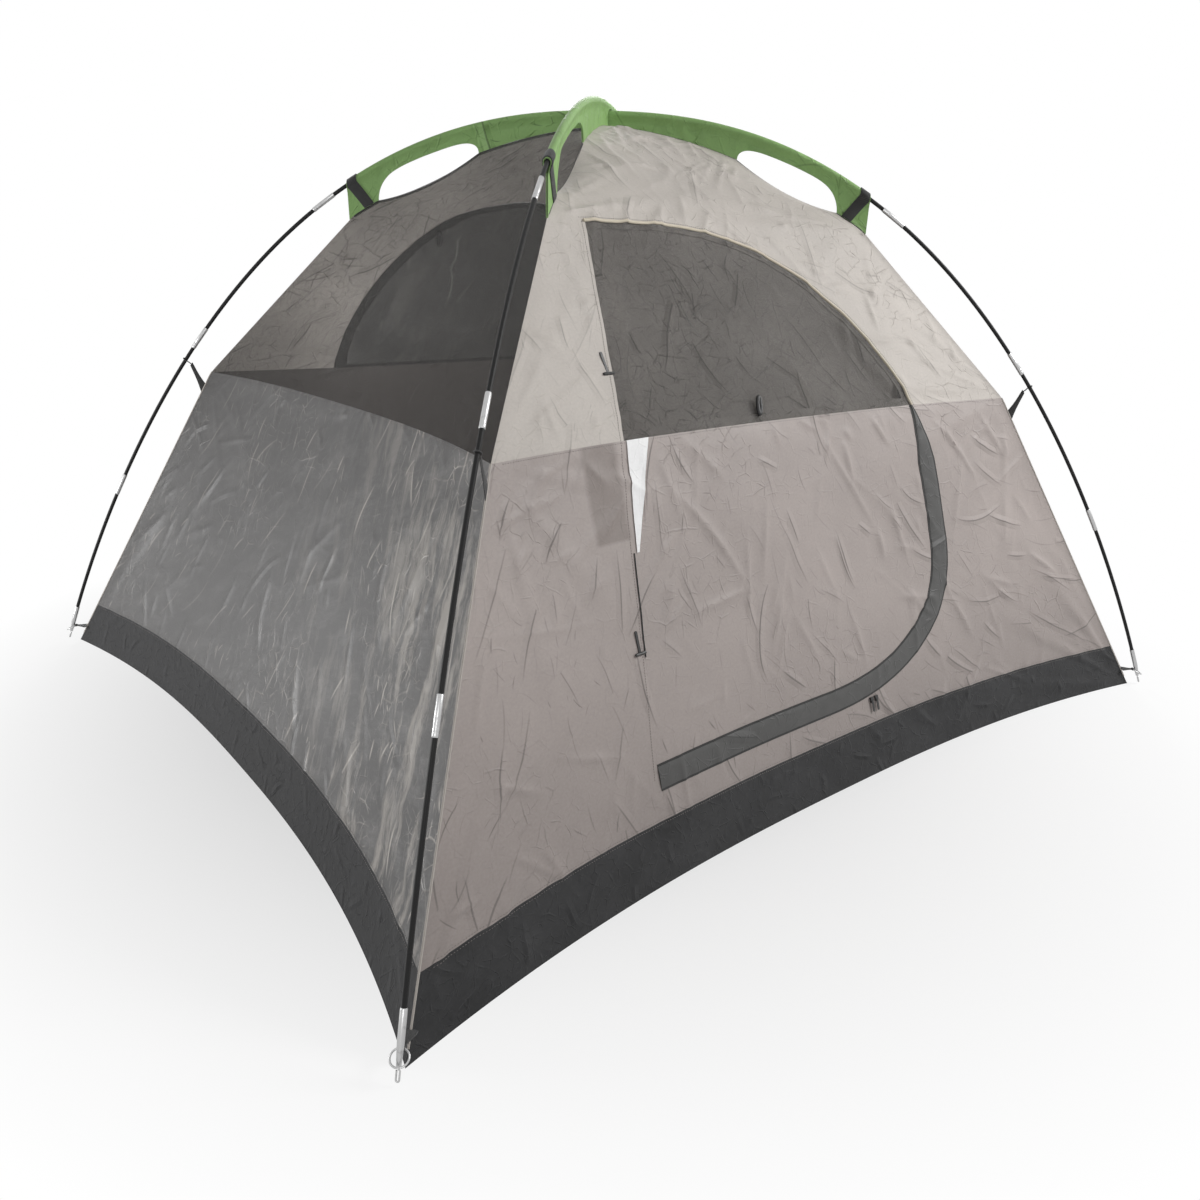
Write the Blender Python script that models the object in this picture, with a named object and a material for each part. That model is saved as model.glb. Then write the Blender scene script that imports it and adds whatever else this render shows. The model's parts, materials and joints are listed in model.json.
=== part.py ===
"""Dome tent on two crossed, sectional poles, with a fabric body that hangs inside them.

Metres, +Z up. The floor lies on z = 0 with its middle at the origin, and the door faces -Y.
Cloth is cut flat, in distance across a wall and girth up it from the floor's edge, and then
draped on the wall's shape. Each piece is one object, and a moving piece has its origin on its axis.
"""
import math

import bmesh
import bpy
import numpy as np
from mathutils import Matrix, Vector
from mathutils.geometry import delaunay_2d_cdt

# Poles: two bows of fibreglass sections with steel ferrules
POLE_SPAN_X = 2.50  # between the pole feet, side to side
POLE_SPAN_Y = 2.20  # between the pole feet, front to back
POLE_TOP = 1.492  # middle line of the upper pole where the two cross
POLE_BOW = 0.95  # roundness of the bow's feet: less makes them stand more upright
POLE_FULL = 2.3  # fullness of the bow's top: 2 is a plain bow, and more is flatter
POLE_DIAMETER = 0.0095
FERRULE_DIAMETER = 0.0118
FERRULE_LENGTH = 0.068
FIRST_JOINT = 0.566  # from the ground along the pole to the middle of the first ferrule
SECTION_LENGTH = 0.512  # from one ferrule's middle to the next
ROD_STEP = 0.075  # between the rings that follow the bow
TOP_STEP = 0.052  # the same in the sleeves, where the bow is tightest
TIP_HEIGHT = 0.028  # of the steel tip's lower end above the ground
TIP_DIAMETER = 0.0122
TIP_LENGTH = 0.055
TIP_TAPER = 0.036
TIP_END_DIAMETER = 0.0082

# Pin, ring and webbing at each pole foot, and the hook half way up
PIN_DIAMETER = 0.0030
PIN_DEPTH = 0.030  # of the pin inside the pole's tip
PIN_NECK = 0.003
EYE_LENGTH = 0.020
EYE_WIDTH = 0.0085
RING_DIAMETER = 0.0304  # at the middle of its wire
RING_WIRE = 0.0034
RING_HEIGHT = 0.041
RING_TILT = math.radians(64)  # of the ring's axis up from the ground, outwards
WEBBING_WIDTH = 0.025
WEBBING_THICKNESS = 0.0036  # two layers sewn together
LOOP_WIDTH = 0.007  # of the webbing where it is gathered round the ring
LOOP_WALL = 0.0012
HOOK_PLACE = 0.85  # of the way up the middle section, from its lower ferrule
HOOK_WIRE = 0.003
HOOK_SHANK = 0.011
HOOK_WRAP = math.radians(255)
TAB_DROP = 0.045  # of the tab's sewn end below the band
TAB_ROOT = 0.024
TAB_TIP = 0.011
TAB_THICKNESS = 0.002

# Fabric body: a profile up the corner seam, and how far each wall sags in between the corners
FLOOR_GAP = 0.035  # from the pole's line in to the fabric, along the diagonal
BAND_HEIGHT = 0.83  # seam between the lower and the upper wall
BAND_GAP = 0.0986
EAVE_SHARE = 0.3937  # of a pole's reach: foot of the pole sleeves, where wall turns to roof
EAVE_DROP = 0.0909  # of the eave's corner below the upper pole
ROOF_DROP = 0.042  # of the roof's top below the upper pole
RIDGE_DIP = 0.022  # of the roof's ridges where the sleeves are cut out
DIP_SHAPE = 5.0  # how close to the ridges their dips stay
ROOF_CURVE = 1.7
HEM_HEIGHT = 0.12  # of the floor cloth turned up at the walls
FLOOR_SAG = 0.122
BAND_SAG = 0.065
EAVE_SAG = 0.035
SAG_SHAPE = 2.5
CLOTH = 0.002  # thickness given to every layer of cloth
CLOTH_STEP = 0.14
SEAM_GAP = 0.0004
LAYER_LIFT = 0.0012  # between a wall and cloth sewn on it, with room for the wall's curve
CORNER_TRIM = 0.0004
APEX_CUT = 0.014  # of the roof panels' tips, under the crossing sleeves

# Pole sleeves and their end straps
SLEEVE_OVERHANG = 0.012  # of a sleeve's end past the eave
SLEEVE_CLEARANCE = 0.0007  # round the ferrules, which pass through the sleeve
SLEEVE_SLIT = 0.0006  # between the two layers of the fin
SLEEVE_NECK = 0.017  # from the pole's middle down to where the layers meet
SLEEVE_STRIP = 0.027  # of the sleeve left above its cut-out
CUTOUT_START = 0.496  # of the way from the crossing to the eave
CUTOUT_END = 0.897
CUTOUT_ROUND = 6.0
SLEEVE_STATIONS = 11  # along each cut-out
FIN_STATIONS = 7  # from the crossing to a cut-out
CROSSING_ROOM = 1.25  # of the lower sleeve's radius that the upper fin is cut back
STRAP_WIDTH = 0.025
STRAP_LEAN = 0.042  # of the strap's foot towards the middle of the tent
STRAP_LEANS = (0, 0, 0, 0.05, 0.22, 1)  # shares of the lean, from the top of the pole to the foot

# Front door: girths are measured up the cloth from the floor's edge
DOOR_SILL = 0.24
DOOR_TOP = 1.563
DOOR_WIDEST = 0.62
DOOR_FOOT_LEFT = -0.555
DOOR_BAND_LEFT = -0.481
DOOR_TOP_LEFT = -0.397
DOOR_RIGHT = 0.505
DOOR_ARCH_CENTRE = -0.24
DOOR_FOOT_CENTRE = 0.0
DOOR_ROUND = 2.3
FLAP_WIDTH = 0.052  # storm flap over the zip
FLAP_INSET = 0.004  # of the storm flap's end from the hinge seam
FLAP_TAPER = 0.16  # of the door's girth in which the storm flap comes to a point
FLAP_POINT = 0.04  # of the storm flap's width left at that point
WINDOW_INSET = 0.018  # of a window's inner flap from the window's edge
FLAP_SEAT = 0.0008  # from a window's mesh in to its flap
LABEL_WIDTH = 0.060
LABEL_LENGTH = 0.245
LABEL_INSET = 0.006

# Rear window
REAR_HALF_WIDTH = 0.48
REAR_TOP = 1.70
REAR_ROUND = 1.8

# Zip sliders and toggles
SLIDER_PLACE = 0.157  # of the first slider along the sill
SLIDER_PITCH = 0.018
SLIDER_LEFT_RUN = -0.30  # along the straight part of the sill
SLIDER_RIGHT_RUN = 0.06  # to where the zip turns up
SLIDER_WIDTH = 0.011
SLIDER_LENGTH = 0.014
SLIDER_THICKNESS = 0.0045
SLIDER_LIFT = 0.0008  # room for the wall's curve on the slider's way
PULL_WIDTH = 0.006
PULL_LENGTH = 0.030
PULL_THICKNESS = 0.0016
TOGGLE_LENGTH = 0.030
TOGGLE_DIAMETER = 0.0066
TOGGLE_PROFILE = ((-0.5, 0.55), (-0.44, 0.95), (-0.14, 1), (0, 0.82), (0.14, 1), (0.44, 0.95), (0.5, 0.55))
TOGGLE_LOOP = 0.046
TOGGLE_LOOP_WIDTH = 0.006
TOGGLE_LOOP_THICKNESS = 0.002
TOGGLE_INSET = 0.022  # left of the door's hinge seam
TOGGLE_GIRTHS = {"toggle_upper": 1.215, "toggle_lower": 0.575}

GAP = 0.0003  # between pieces that touch
NIP = 0.006  # step over which a slope is taken
ROUND_SIDES = 8
ARC_POINTS = 9
RING_POINTS = 20

# Finishes: colour, roughness and metallic value
FINISHES = {
    "beige_cloth": ((0.53, 0.49, 0.45), 0.70, 0.0),
    "taupe_cloth": ((0.36, 0.31, 0.29), 0.65, 0.0),
    "grey_cloth": ((0.21, 0.20, 0.19), 0.40, 0.0),
    "dark_mesh": ((0.075, 0.070, 0.065), 0.85, 0.0),
    "floor_cloth": ((0.055, 0.055, 0.058), 0.80, 0.0),
    "green_cloth": ((0.17, 0.27, 0.11), 0.60, 0.0),
    "white_label": ((0.78, 0.78, 0.77), 0.70, 0.0),
    "storm_cloth": ((0.14, 0.14, 0.14), 0.60, 0.0),
    "black_webbing": ((0.018, 0.018, 0.018), 0.85, 0.0),
    "black_rod": ((0.022, 0.022, 0.022), 0.35, 0.0),
    "bright_steel": ((0.62, 0.62, 0.62), 0.25, 1.0),
    "black_plastic": ((0.020, 0.020, 0.020), 0.45, 0.0),
}

# Values that follow from the driving dimensions
POLE_RADIUS = POLE_DIAMETER / 2
POLE_REACH = math.hypot(POLE_SPAN_X, POLE_SPAN_Y) / 2
SHARE_X = POLE_SPAN_X / 2 / POLE_REACH
SHARE_Y = POLE_SPAN_Y / 2 / POLE_REACH
SLEEVE_INNER = FERRULE_DIAMETER / 2 + SLEEVE_CLEARANCE
SLEEVE_OUTER = SLEEVE_INNER + CLOTH
CROSS_DROP = POLE_RADIUS + SLEEVE_OUTER + CLOTH + 2 * GAP
ROOF_TOP = POLE_TOP - ROOF_DROP
EAVE_REACH = POLE_REACH * EAVE_SHARE
EAVE_HEIGHT = POLE_TOP * (1 - EAVE_SHARE**POLE_FULL) ** POLE_BOW - EAVE_DROP
SLEEVE_REACH = EAVE_REACH + SLEEVE_OVERHANG
CUTOUT_INNER = EAVE_REACH * CUTOUT_START
CUTOUT_OUTER = EAVE_REACH * CUTOUT_END
HOOK_ALONG = FIRST_JOINT + SECTION_LENGTH * HOOK_PLACE
TAB_HEIGHT = BAND_HEIGHT - TAB_DROP
CORNERS = {
    "front_left": Vector((-SHARE_X, -SHARE_Y, 0)),
    "front_right": Vector((SHARE_X, -SHARE_Y, 0)),
    "rear_right": Vector((SHARE_X, SHARE_Y, 0)),
    "rear_left": Vector((-SHARE_X, SHARE_Y, 0)),
}
POLES = {
    "a": ("front_left", "rear_right", POLE_TOP),
    "b": ("front_right", "rear_left", POLE_TOP - CROSS_DROP),
}
UP = Vector((0, 0, 1))


# Shapes of the bowed pole and of the draped cloth


def bow_height(reach, top):
    """Height of a pole's middle line at a distance from the tent's middle."""
    return top * max(0.0, 1 - abs(reach / POLE_REACH) ** POLE_FULL) ** POLE_BOW


def bow_reach(height, top):
    return POLE_REACH * (1 - (height / top) ** (1 / POLE_BOW)) ** (1 / POLE_FULL)


class Bow:
    """A pole's middle line, followed by the distance along it from its first foot."""

    def __init__(self, pole):
        first, _, top = POLES[pole]
        turn = np.linspace(math.pi / 2, -math.pi / 2, 4001)
        self.reach = POLE_REACH * np.sin(turn)
        self.height = top * (1 - np.abs(np.sin(turn)) ** POLE_FULL).clip(0) ** POLE_BOW
        steps = np.hypot(np.diff(self.reach), np.diff(self.height))
        self.along = np.concatenate([[0], np.cumsum(steps)])
        self.length = float(self.along[-1])
        self.out = CORNERS[first]
        self.side = UP.cross(self.out)

    def point(self, along):
        reach = float(np.interp(along, self.along, self.reach))
        height = float(np.interp(along, self.along, self.height))
        return self.out * reach + UP * height

    def direction(self, along):
        low = min(max(along - NIP, 0.0), self.length - 2 * NIP)
        return (self.point(low + 2 * NIP) - self.point(low)).normalized()

    def at_height(self, height):
        half = len(self.along) // 2
        return float(np.interp(height, self.height[:half], self.along[:half]))

    def frame(self, along):
        """The point there, and the two directions square to the pole."""
        along_pole = self.direction(along)
        return self.point(along), self.side.cross(along_pole), self.side


class Profile:
    """The corner seam of the fabric in its diagonal plane: floor, band, eave and roof."""

    def __init__(self):
        band = bow_reach(BAND_HEIGHT, POLE_TOP) - BAND_GAP
        corners = [(POLE_REACH - FLOOR_GAP, 0.0), (band, BAND_HEIGHT), (EAVE_REACH, EAVE_HEIGHT)]
        line = []
        for (r0, z0), (r1, z1) in zip(corners, corners[1:]):
            line += [(r0 + (r1 - r0) * t, z0 + (z1 - z0) * t) for t in np.linspace(0, 1, 200)[:-1]]
        for share in np.linspace(1, 0, 300):
            rise = (ROOF_TOP - EAVE_HEIGHT) * (1 - share**ROOF_CURVE)
            line.append((EAVE_REACH * share, EAVE_HEIGHT + rise))
        self.reach, self.height = np.array(line).T
        steps = np.hypot(np.diff(self.reach), np.diff(self.height))
        self.girth = np.concatenate([[0], np.cumsum(steps)])

    def girth_at(self, height):
        return float(np.interp(height, self.height, self.girth))

    def girth_at_reach(self, reach):
        return float(np.interp(-reach, -self.reach, self.girth))

    def height_at_reach(self, reach):
        return float(np.interp(-reach, -self.reach, self.height))

    def at(self, girth, depth=0.0):
        """Reach and height there, moved in from the outer face by a depth."""
        low, high = max(girth - NIP, 0.0), min(girth + NIP, self.girth[-1])
        rise = np.interp(high, self.girth, self.height) - np.interp(low, self.girth, self.height)
        run = np.interp(high, self.girth, self.reach) - np.interp(low, self.girth, self.reach)
        length = math.hypot(rise, run)
        reach = np.interp(girth, self.girth, self.reach) - depth * rise / length
        height = np.interp(girth, self.girth, self.height) + depth * run / length
        return float(reach), float(height)

    def sag(self, girth):
        height = np.interp(girth, self.girth, self.height)
        heights = [0, BAND_HEIGHT, EAVE_HEIGHT, ROOF_TOP]
        return float(np.interp(height, heights, [FLOOR_SAG, BAND_SAG, EAVE_SAG, 0]))

    def dip(self, girth):
        """How far the ridge hangs down there, between the ends of a sleeve's cut-out."""
        share = 2 * (self.at(girth)[0] - CUTOUT_INNER) / (CUTOUT_OUTER - CUTOUT_INNER) - 1
        return RIDGE_DIP * max(0.0, 1 - share**2)


PROFILE = Profile()
HEM = PROFILE.girth_at(HEM_HEIGHT)
BAND = PROFILE.girth_at(BAND_HEIGHT)
EAVE = PROFILE.girth_at(EAVE_HEIGHT)
APEX = PROFILE.girth_at_reach(APEX_CUT)


class Wall:
    """One side of the tent, turned round the middle from the front wall."""

    def __init__(self, quarter_turns, across, out):
        self.turn = Matrix.Rotation(quarter_turns * math.pi / 2, 3, "Z")
        self.across = across
        self.out = out

    def half_width(self, girth):
        return PROFILE.at(girth)[0] * self.across

    def edge(self, girth):
        """The widest that a panel is cut there, short of the corner seam."""
        return self.half_width(girth) - CORNER_TRIM

    def point(self, across, girth, depth=0.0):
        reach, height = PROFILE.at(girth, depth)
        share = across / self.half_width(girth)
        sag = PROFILE.sag(girth) * (1 - min(1.0, abs(share)) ** SAG_SHAPE)
        height -= PROFILE.dip(girth) * min(1.0, abs(share)) ** DIP_SHAPE
        return self.turn @ Vector((share * reach * self.across, sag - reach * self.out, height))

    def normal(self, across, girth):
        along = self.point(across + NIP, girth) - self.point(across - NIP, girth)
        up = self.point(across, girth + NIP) - self.point(across, girth - NIP)
        return along.cross(up).normalized()


FRONT = Wall(0, SHARE_X, SHARE_Y)
RIGHT = Wall(1, SHARE_Y, SHARE_X)
REAR = Wall(2, SHARE_X, SHARE_Y)
LEFT = Wall(3, SHARE_Y, SHARE_X)


# Flat outlines


def spread(points, step=CLOTH_STEP):
    """A run of points again, with points no further apart than a step."""
    run = [points[0]]
    for start, end in zip(points, points[1:]):
        count = math.ceil(math.dist(start, end) / step)
        for i in range(1, count + 1):
            run.append(tuple(a + (b - a) * i / count for a, b in zip(start, end)))
    return run


def rows(low, high, step):
    """Girths from one to another, no further apart than a step, with one at the eave's fold."""
    levels = [low, EAVE, high] if low < EAVE < high else [low, high]
    girths = [low]
    for start, end in zip(levels, levels[1:]):
        count = max(1, math.ceil((end - start) / step))
        girths += [start + (end - start) * i / count for i in range(1, count + 1)]
    return girths


def corner_run(wall, low, high, side):
    """The corner seam's edge of a panel, from one girth to another."""
    stops = [PROFILE.girth_at_reach(reach) for reach in (CUTOUT_OUTER, CUTOUT_INNER)]
    stops = [min(low, high), *(stop for stop in stops if stop < max(low, high)), max(low, high)]
    girths = stops[:1]
    for start, end in zip(stops, stops[1:]):
        girths += rows(start, end, CLOTH_STEP)[1:]
    if high < low:
        girths.reverse()
    return [(side * wall.edge(girth), girth) for girth in girths]


def hem_run(wall, girth, trim=0.0):
    """Points across a wall, at the shares of its width that the hem and the wall above it use."""
    count = 2 * math.ceil(wall.half_width(HEM) / CLOTH_STEP)
    half = wall.half_width(girth) - trim
    return [(half * (2 * i / count - 1), girth) for i in range(count + 1)]


def full_arc(centre, size, roundness, start, end, count=ARC_POINTS):
    """An arc that is fuller than an ellipse, from one angle to another in the first quarter turn."""
    points = []
    for angle in np.linspace(start, end, count):
        reach = abs(math.cos(angle)) ** (2 / roundness)
        rise = abs(math.sin(angle)) ** (2 / roundness)
        points.append((centre[0] + size[0] * reach, centre[1] + size[1] * rise))
    return points


def angle_at(rise, roundness):
    return math.asin(min(1.0, rise) ** (roundness / 2))


def door_hinge_x(girth):
    """The door's hinge seam, which bends at the band."""
    seam = [(DOOR_SILL, DOOR_FOOT_LEFT), (BAND, DOOR_BAND_LEFT), (DOOR_TOP, DOOR_TOP_LEFT)]
    return float(np.interp(girth, [g for g, _ in seam], [x for _, x in seam]))


def door_upper(margin, low):
    """Edge of the door above a girth, from the hinge seam over the arch to its right side."""
    size = (DOOR_RIGHT - DOOR_ARCH_CENTRE + margin, DOOR_TOP - DOOR_WIDEST + margin)
    centre = (DOOR_ARCH_CENTRE, DOOR_WIDEST)
    end = angle_at((low - DOOR_WIDEST) / size[1], DOOR_ROUND)
    arc = full_arc(centre, size, DOOR_ROUND, math.pi / 2, end, ARC_POINTS + 3)
    left = [(door_hinge_x(low) - margin, low), (DOOR_TOP_LEFT - margin, DOOR_TOP + margin)]
    return spread(left + arc[:1]) + arc[1:]


def door_lower(margin, high):
    """Edge of the door below a girth, from its right side round the foot to the hinge seam."""
    size = (DOOR_RIGHT - DOOR_ARCH_CENTRE + margin, DOOR_TOP - DOOR_WIDEST + margin)
    start = angle_at((high - DOOR_WIDEST) / size[1], DOOR_ROUND)
    side = full_arc((DOOR_ARCH_CENTRE, DOOR_WIDEST), size, DOOR_ROUND, start, 0, 4)
    size = (DOOR_RIGHT - DOOR_FOOT_CENTRE + margin, DOOR_SILL - DOOR_WIDEST - margin)
    foot = full_arc((DOOR_FOOT_CENTRE, DOOR_WIDEST), size, DOOR_ROUND, 0, math.pi / 2)
    left = [(DOOR_FOOT_LEFT - margin, DOOR_SILL - margin), (door_hinge_x(high) - margin, high)]
    return side + foot[1:] + spread(foot[-1:] + left)[1:]


def rear_arch(margin, low):
    """Edge of the rear window above a girth, from its left foot over to its right foot."""
    size = (REAR_HALF_WIDTH + margin, REAR_TOP - BAND + margin)
    end = angle_at((low - BAND) / size[1], REAR_ROUND)
    right = full_arc((0, BAND), size, REAR_ROUND, math.pi / 2, end)
    return [(-x, g) for x, g in reversed(right)] + right[1:]


def inside(point, ring):
    x, y = point
    crossings = 0
    for (x0, y0), (x1, y1) in zip(ring, ring[1:] + ring[:1]):
        if (y0 > y) != (y1 > y) and x < x0 + (y - y0) * (x1 - x0) / (y1 - y0):
            crossings += 1
    return crossings % 2 == 1


def clear_of(point, rings, distance):
    return all(math.dist(point, corner) > distance for ring in rings for corner in ring)


def folded(ring):
    """A ring of points with one more wherever it crosses the eave's fold."""
    points = []
    for (x0, y0), (x1, y1) in zip(ring, ring[1:] + ring[:1]):
        points.append((x0, y0))
        if (y0 - EAVE) * (y1 - EAVE) < 0:
            points.append((x0 + (x1 - x0) * (EAVE - y0) / (y1 - y0), EAVE))
    return points


def cut(outline, holes=(), step=None):
    """Points and triangles of a flat piece cut to an outline, with a lattice of points inside."""
    outline = folded(outline)
    rings = [outline, *holes]
    points = [point for ring in rings for point in ring]
    edges = []
    for ring in rings:
        start = len(edges)
        edges += [(start + i, start + (i + 1) % len(ring)) for i in range(len(ring))]
    if step:
        low, high = np.min(outline, axis=0), np.max(outline, axis=0)
        columns = np.linspace(low[0], high[0], max(2, round((high[0] - low[0]) / step) + 1))
        for place in ((float(x), float(y)) for y in rows(low[1], high[1], step) for x in columns):
            if inside(place, outline) and clear_of(place, rings, 0.45 * step):
                points.append(place)
    fold = sorted((point[0], i) for i, point in enumerate(points) if point[1] == EAVE)
    for (x0, i), (x1, j) in zip(fold, fold[1:]):
        if inside(((x0 + x1) / 2, EAVE), outline):
            edges.append((i, j))
    corners, _, faces, *_ = delaunay_2d_cdt([Vector(p) for p in points], edges, [], 0, 1e-7)
    corners = [(corner.x, corner.y) for corner in corners]
    triangles = []
    for face in faces:
        middle = tuple(np.mean([corners[i] for i in face], axis=0))
        if inside(middle, outline) and not any(inside(middle, hole) for hole in holes):
            triangles.append(tuple(face))
    return corners, triangles


# Objects


def finish(name):
    material = bpy.data.materials.get(name) or bpy.data.materials.new(name)
    colour, roughness, metallic = FINISHES[name]
    material.use_nodes = True
    shader = material.node_tree.nodes["Principled BSDF"]
    shader.inputs["Base Color"].default_value = (*colour, 1)
    shader.inputs["Roughness"].default_value = roughness
    shader.inputs["Metallic"].default_value = metallic
    return material


def pivot_empty(name, place, axis):
    """An empty on a joint's axis, with its Z along the axis."""
    empty = bpy.data.objects.new(name, None)
    bpy.context.collection.objects.link(empty)
    empty.matrix_world = Matrix.Translation(place) @ axis.to_track_quat("Z", "Y").to_matrix().to_4x4()
    return empty


def add(name, form, look, pivot=None, smooth=True):
    """Make a piece from a bmesh in world places, carried by the empty of its joint if it moves."""
    mesh = bpy.data.meshes.new(name)
    bmesh.ops.recalc_face_normals(form, faces=form.faces)
    if form.calc_volume(signed=True) < 0:
        bmesh.ops.reverse_faces(form, faces=form.faces)
    bmesh.ops.triangulate(form, faces=[face for face in form.faces if len(face.verts) > 4])
    if pivot:
        bmesh.ops.transform(form, matrix=pivot.matrix_world.inverted(), verts=form.verts)
    form.to_mesh(mesh)
    form.free()
    if smooth:
        mesh.shade_smooth()
        mesh.set_sharp_from_angle(angle=math.radians(35))
    mesh.materials.append(finish(look))
    piece = bpy.data.objects.new(name, mesh)
    bpy.context.collection.objects.link(piece)
    piece.parent = pivot
    return piece


def sheet(flat, place, thickness=CLOTH):
    """A closed form from a flat cut: place(x, y, depth) gives a point at a depth in the sheet."""
    points, triangles = flat
    form = bmesh.new()
    faces = [[form.verts.new(place(x, y, depth)) for x, y in points] for depth in (0, thickness)]
    uses = {}
    for triangle in triangles:
        form.faces.new([faces[0][i] for i in triangle])
        form.faces.new([faces[1][i] for i in reversed(triangle)])
        for a, b in zip(triangle, triangle[1:] + triangle[:1]):
            uses[a, b] = (b, a) not in uses
            if (b, a) in uses:
                uses[b, a] = False
    for (a, b), rim in uses.items():
        if rim:
            form.faces.new([faces[0][b], faces[0][a], faces[1][a], faces[1][b]])
    bmesh.ops.delete(form, geom=[v for v in form.verts if not v.link_faces], context="VERTS")
    return form


def lofted(rings, closed_ends=True):
    """A closed form through rings of as many points each, capped at both ends."""
    form = bmesh.new()
    loops = [[form.verts.new(point) for point in ring] for ring in rings]
    for low, high in zip(loops, loops[1:]):
        for i in range(len(low)):
            j = (i + 1) % len(low)
            form.faces.new([low[i], low[j], high[j], high[i]])
    if closed_ends:
        form.faces.new(list(reversed(loops[0])))
        form.faces.new(loops[-1])
    return form


def turned(frames):
    """A form turned along a line: each frame gives a centre, two directions and a radius."""
    rings = []
    for centre, first, second, radius in frames:
        angles = [2 * math.pi * i / ROUND_SIDES for i in range(ROUND_SIDES)]
        rings.append([centre + (first * math.cos(a) + second * math.sin(a)) * radius for a in angles])
    return lofted(rings)


def wire(path, radius, closed=False):
    """A round wire along a run of points, with flat ends."""
    frames = []
    count = len(path)
    previous = None
    for i, point in enumerate(path):
        ahead = path[(i + 1) % count] if closed or i + 1 < count else point
        behind = path[i - 1] if closed or i else point
        along = (ahead - behind).normalized()
        if previous is None:
            previous = along.orthogonal().normalized()
        previous = (previous - along * previous.dot(along)).normalized()
        frames.append((point, previous, along.cross(previous), radius))
    if not closed:
        return turned(frames)
    rings = turned_rings(frames)
    form = lofted(rings + rings[:1], closed_ends=False)
    bmesh.ops.remove_doubles(form, verts=form.verts, dist=1e-6)
    return form


def turned_rings(frames):
    angles = [2 * math.pi * i / ROUND_SIDES for i in range(ROUND_SIDES)]
    return [[c + (u * math.cos(a) + v * math.sin(a)) * r for a in angles] for c, u, v, r in frames]


def joined(piece, *others):
    """Fuse other pieces into one, which keeps its name."""
    for other in others:
        fuse = piece.modifiers.new(other.name, "BOOLEAN")
        fuse.operation = "UNION"
        fuse.solver = "EXACT"
        fuse.object = other
        other.hide_render = True
        other.display_type = "WIRE"
    return piece


# Fabric body


def floor_tub():
    """Floor cloth that turns up all round as a hem."""
    rings = []
    for depth, girths in ((0.0, (0.0, HEM)), (CLOTH, (HEM, 0.0))):
        for girth in girths:
            ring_points = []
            for wall in (FRONT, RIGHT, REAR, LEFT):
                for across, _ in hem_run(wall, girth)[:-1]:
                    point = wall.point(across, girth, depth)
                    if girth == 0.0:
                        point.z = depth
                    ring_points.append(point)
            rings.append(ring_points)
    add("floor_tub", lofted(rings), "floor_cloth")


def plain_lower(wall, window=0.0):
    """Lower panel of a wall without a door, with points under the ends of a window above it."""
    low, high = HEM + SEAM_GAP, BAND - SEAM_GAP / 2
    right = corner_run(wall, low, high, 1)
    left = corner_run(wall, high, low, -1)
    foot = hem_run(wall, low, CORNER_TRIM)
    top = spread([right[-1], (window, high), (-window, high), left[0]])
    return foot[:-1] + right + top[1:-1] + left[:-1]


def plain_upper(wall):
    low = BAND + SEAM_GAP / 2
    right = corner_run(wall, low, APEX, 1)
    left = corner_run(wall, APEX, low, -1)
    return spread([left[-1], (0.0, low), right[0]])[:-1] + right + left[:-1]


def front_lower():
    low, high = HEM + SEAM_GAP, BAND - SEAM_GAP / 2
    right = corner_run(FRONT, low, high, 1)
    left = corner_run(FRONT, high, low, -1)
    notch = door_lower(SEAM_GAP, high)
    top_right = spread([right[-1], notch[0]])[1:-1]
    top_left = spread([notch[-1], left[0]])[1:-1]
    foot = hem_run(FRONT, low, CORNER_TRIM)
    return foot[:-1] + right + top_right + notch + top_left + left[:-1]


def front_upper():
    low = BAND + SEAM_GAP / 2
    right = corner_run(FRONT, low, APEX, 1)
    left = corner_run(FRONT, APEX, low, -1)
    notch = door_upper(SEAM_GAP, low)
    foot_left = spread([left[-1], notch[0]])[:-1]
    foot_right = spread([notch[-1], right[0]])[1:-1]
    return foot_left + notch + foot_right + right + left[:-1]


def rear_upper():
    low = BAND + SEAM_GAP / 2
    right = corner_run(REAR, low, APEX, 1)
    left = corner_run(REAR, APEX, low, -1)
    notch = rear_arch(SEAM_GAP, low)
    foot_left = spread([left[-1], notch[0]])[:-1]
    foot_right = spread([notch[-1], right[0]])[1:-1]
    return foot_left + notch + foot_right + right + left[:-1]


def closed_foot(run):
    """A run closed along its foot, with points spread there too."""
    return run + spread([run[-1], run[0]])[1:-1]


def walls():
    panels = [
        ("front_wall_lower", FRONT, front_lower(), "taupe_cloth"),
        ("front_wall_upper", FRONT, front_upper(), "beige_cloth"),
        ("rear_wall_lower", REAR, plain_lower(REAR, REAR_HALF_WIDTH), "taupe_cloth"),
        ("rear_wall_upper", REAR, rear_upper(), "beige_cloth"),
        ("rear_window_mesh", REAR, closed_foot(rear_arch(0, BAND + SEAM_GAP / 2)), "dark_mesh"),
        ("left_wall_lower", LEFT, plain_lower(LEFT), "grey_cloth"),
        ("left_mesh_panel", LEFT, plain_upper(LEFT), "dark_mesh"),
        ("right_wall_lower", RIGHT, plain_lower(RIGHT), "grey_cloth"),
        ("right_mesh_panel", RIGHT, plain_upper(RIGHT), "dark_mesh"),
    ]
    for name, wall, outline, look in panels:
        add(name, sheet(cut(outline, step=CLOTH_STEP), wall.point), look)


def door_axis():
    """Place and direction of the door's hinge seam, through its outermost point at the band."""
    top = FRONT.point(DOOR_TOP_LEFT, DOOR_TOP)
    foot = FRONT.point(DOOR_FOOT_LEFT, DOOR_SILL)
    return FRONT.point(DOOR_BAND_LEFT, BAND), (top - foot).normalized()


def flap_plane(wall):
    """Places on the flat inner flap of a window, laid on the inside of the wall's middle."""

    def place(across, girth, depth):
        middle = wall.point(0, girth, CLOTH + FLAP_SEAT + depth)
        return middle + wall.turn @ Vector((across, 0, 0))

    return place


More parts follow.
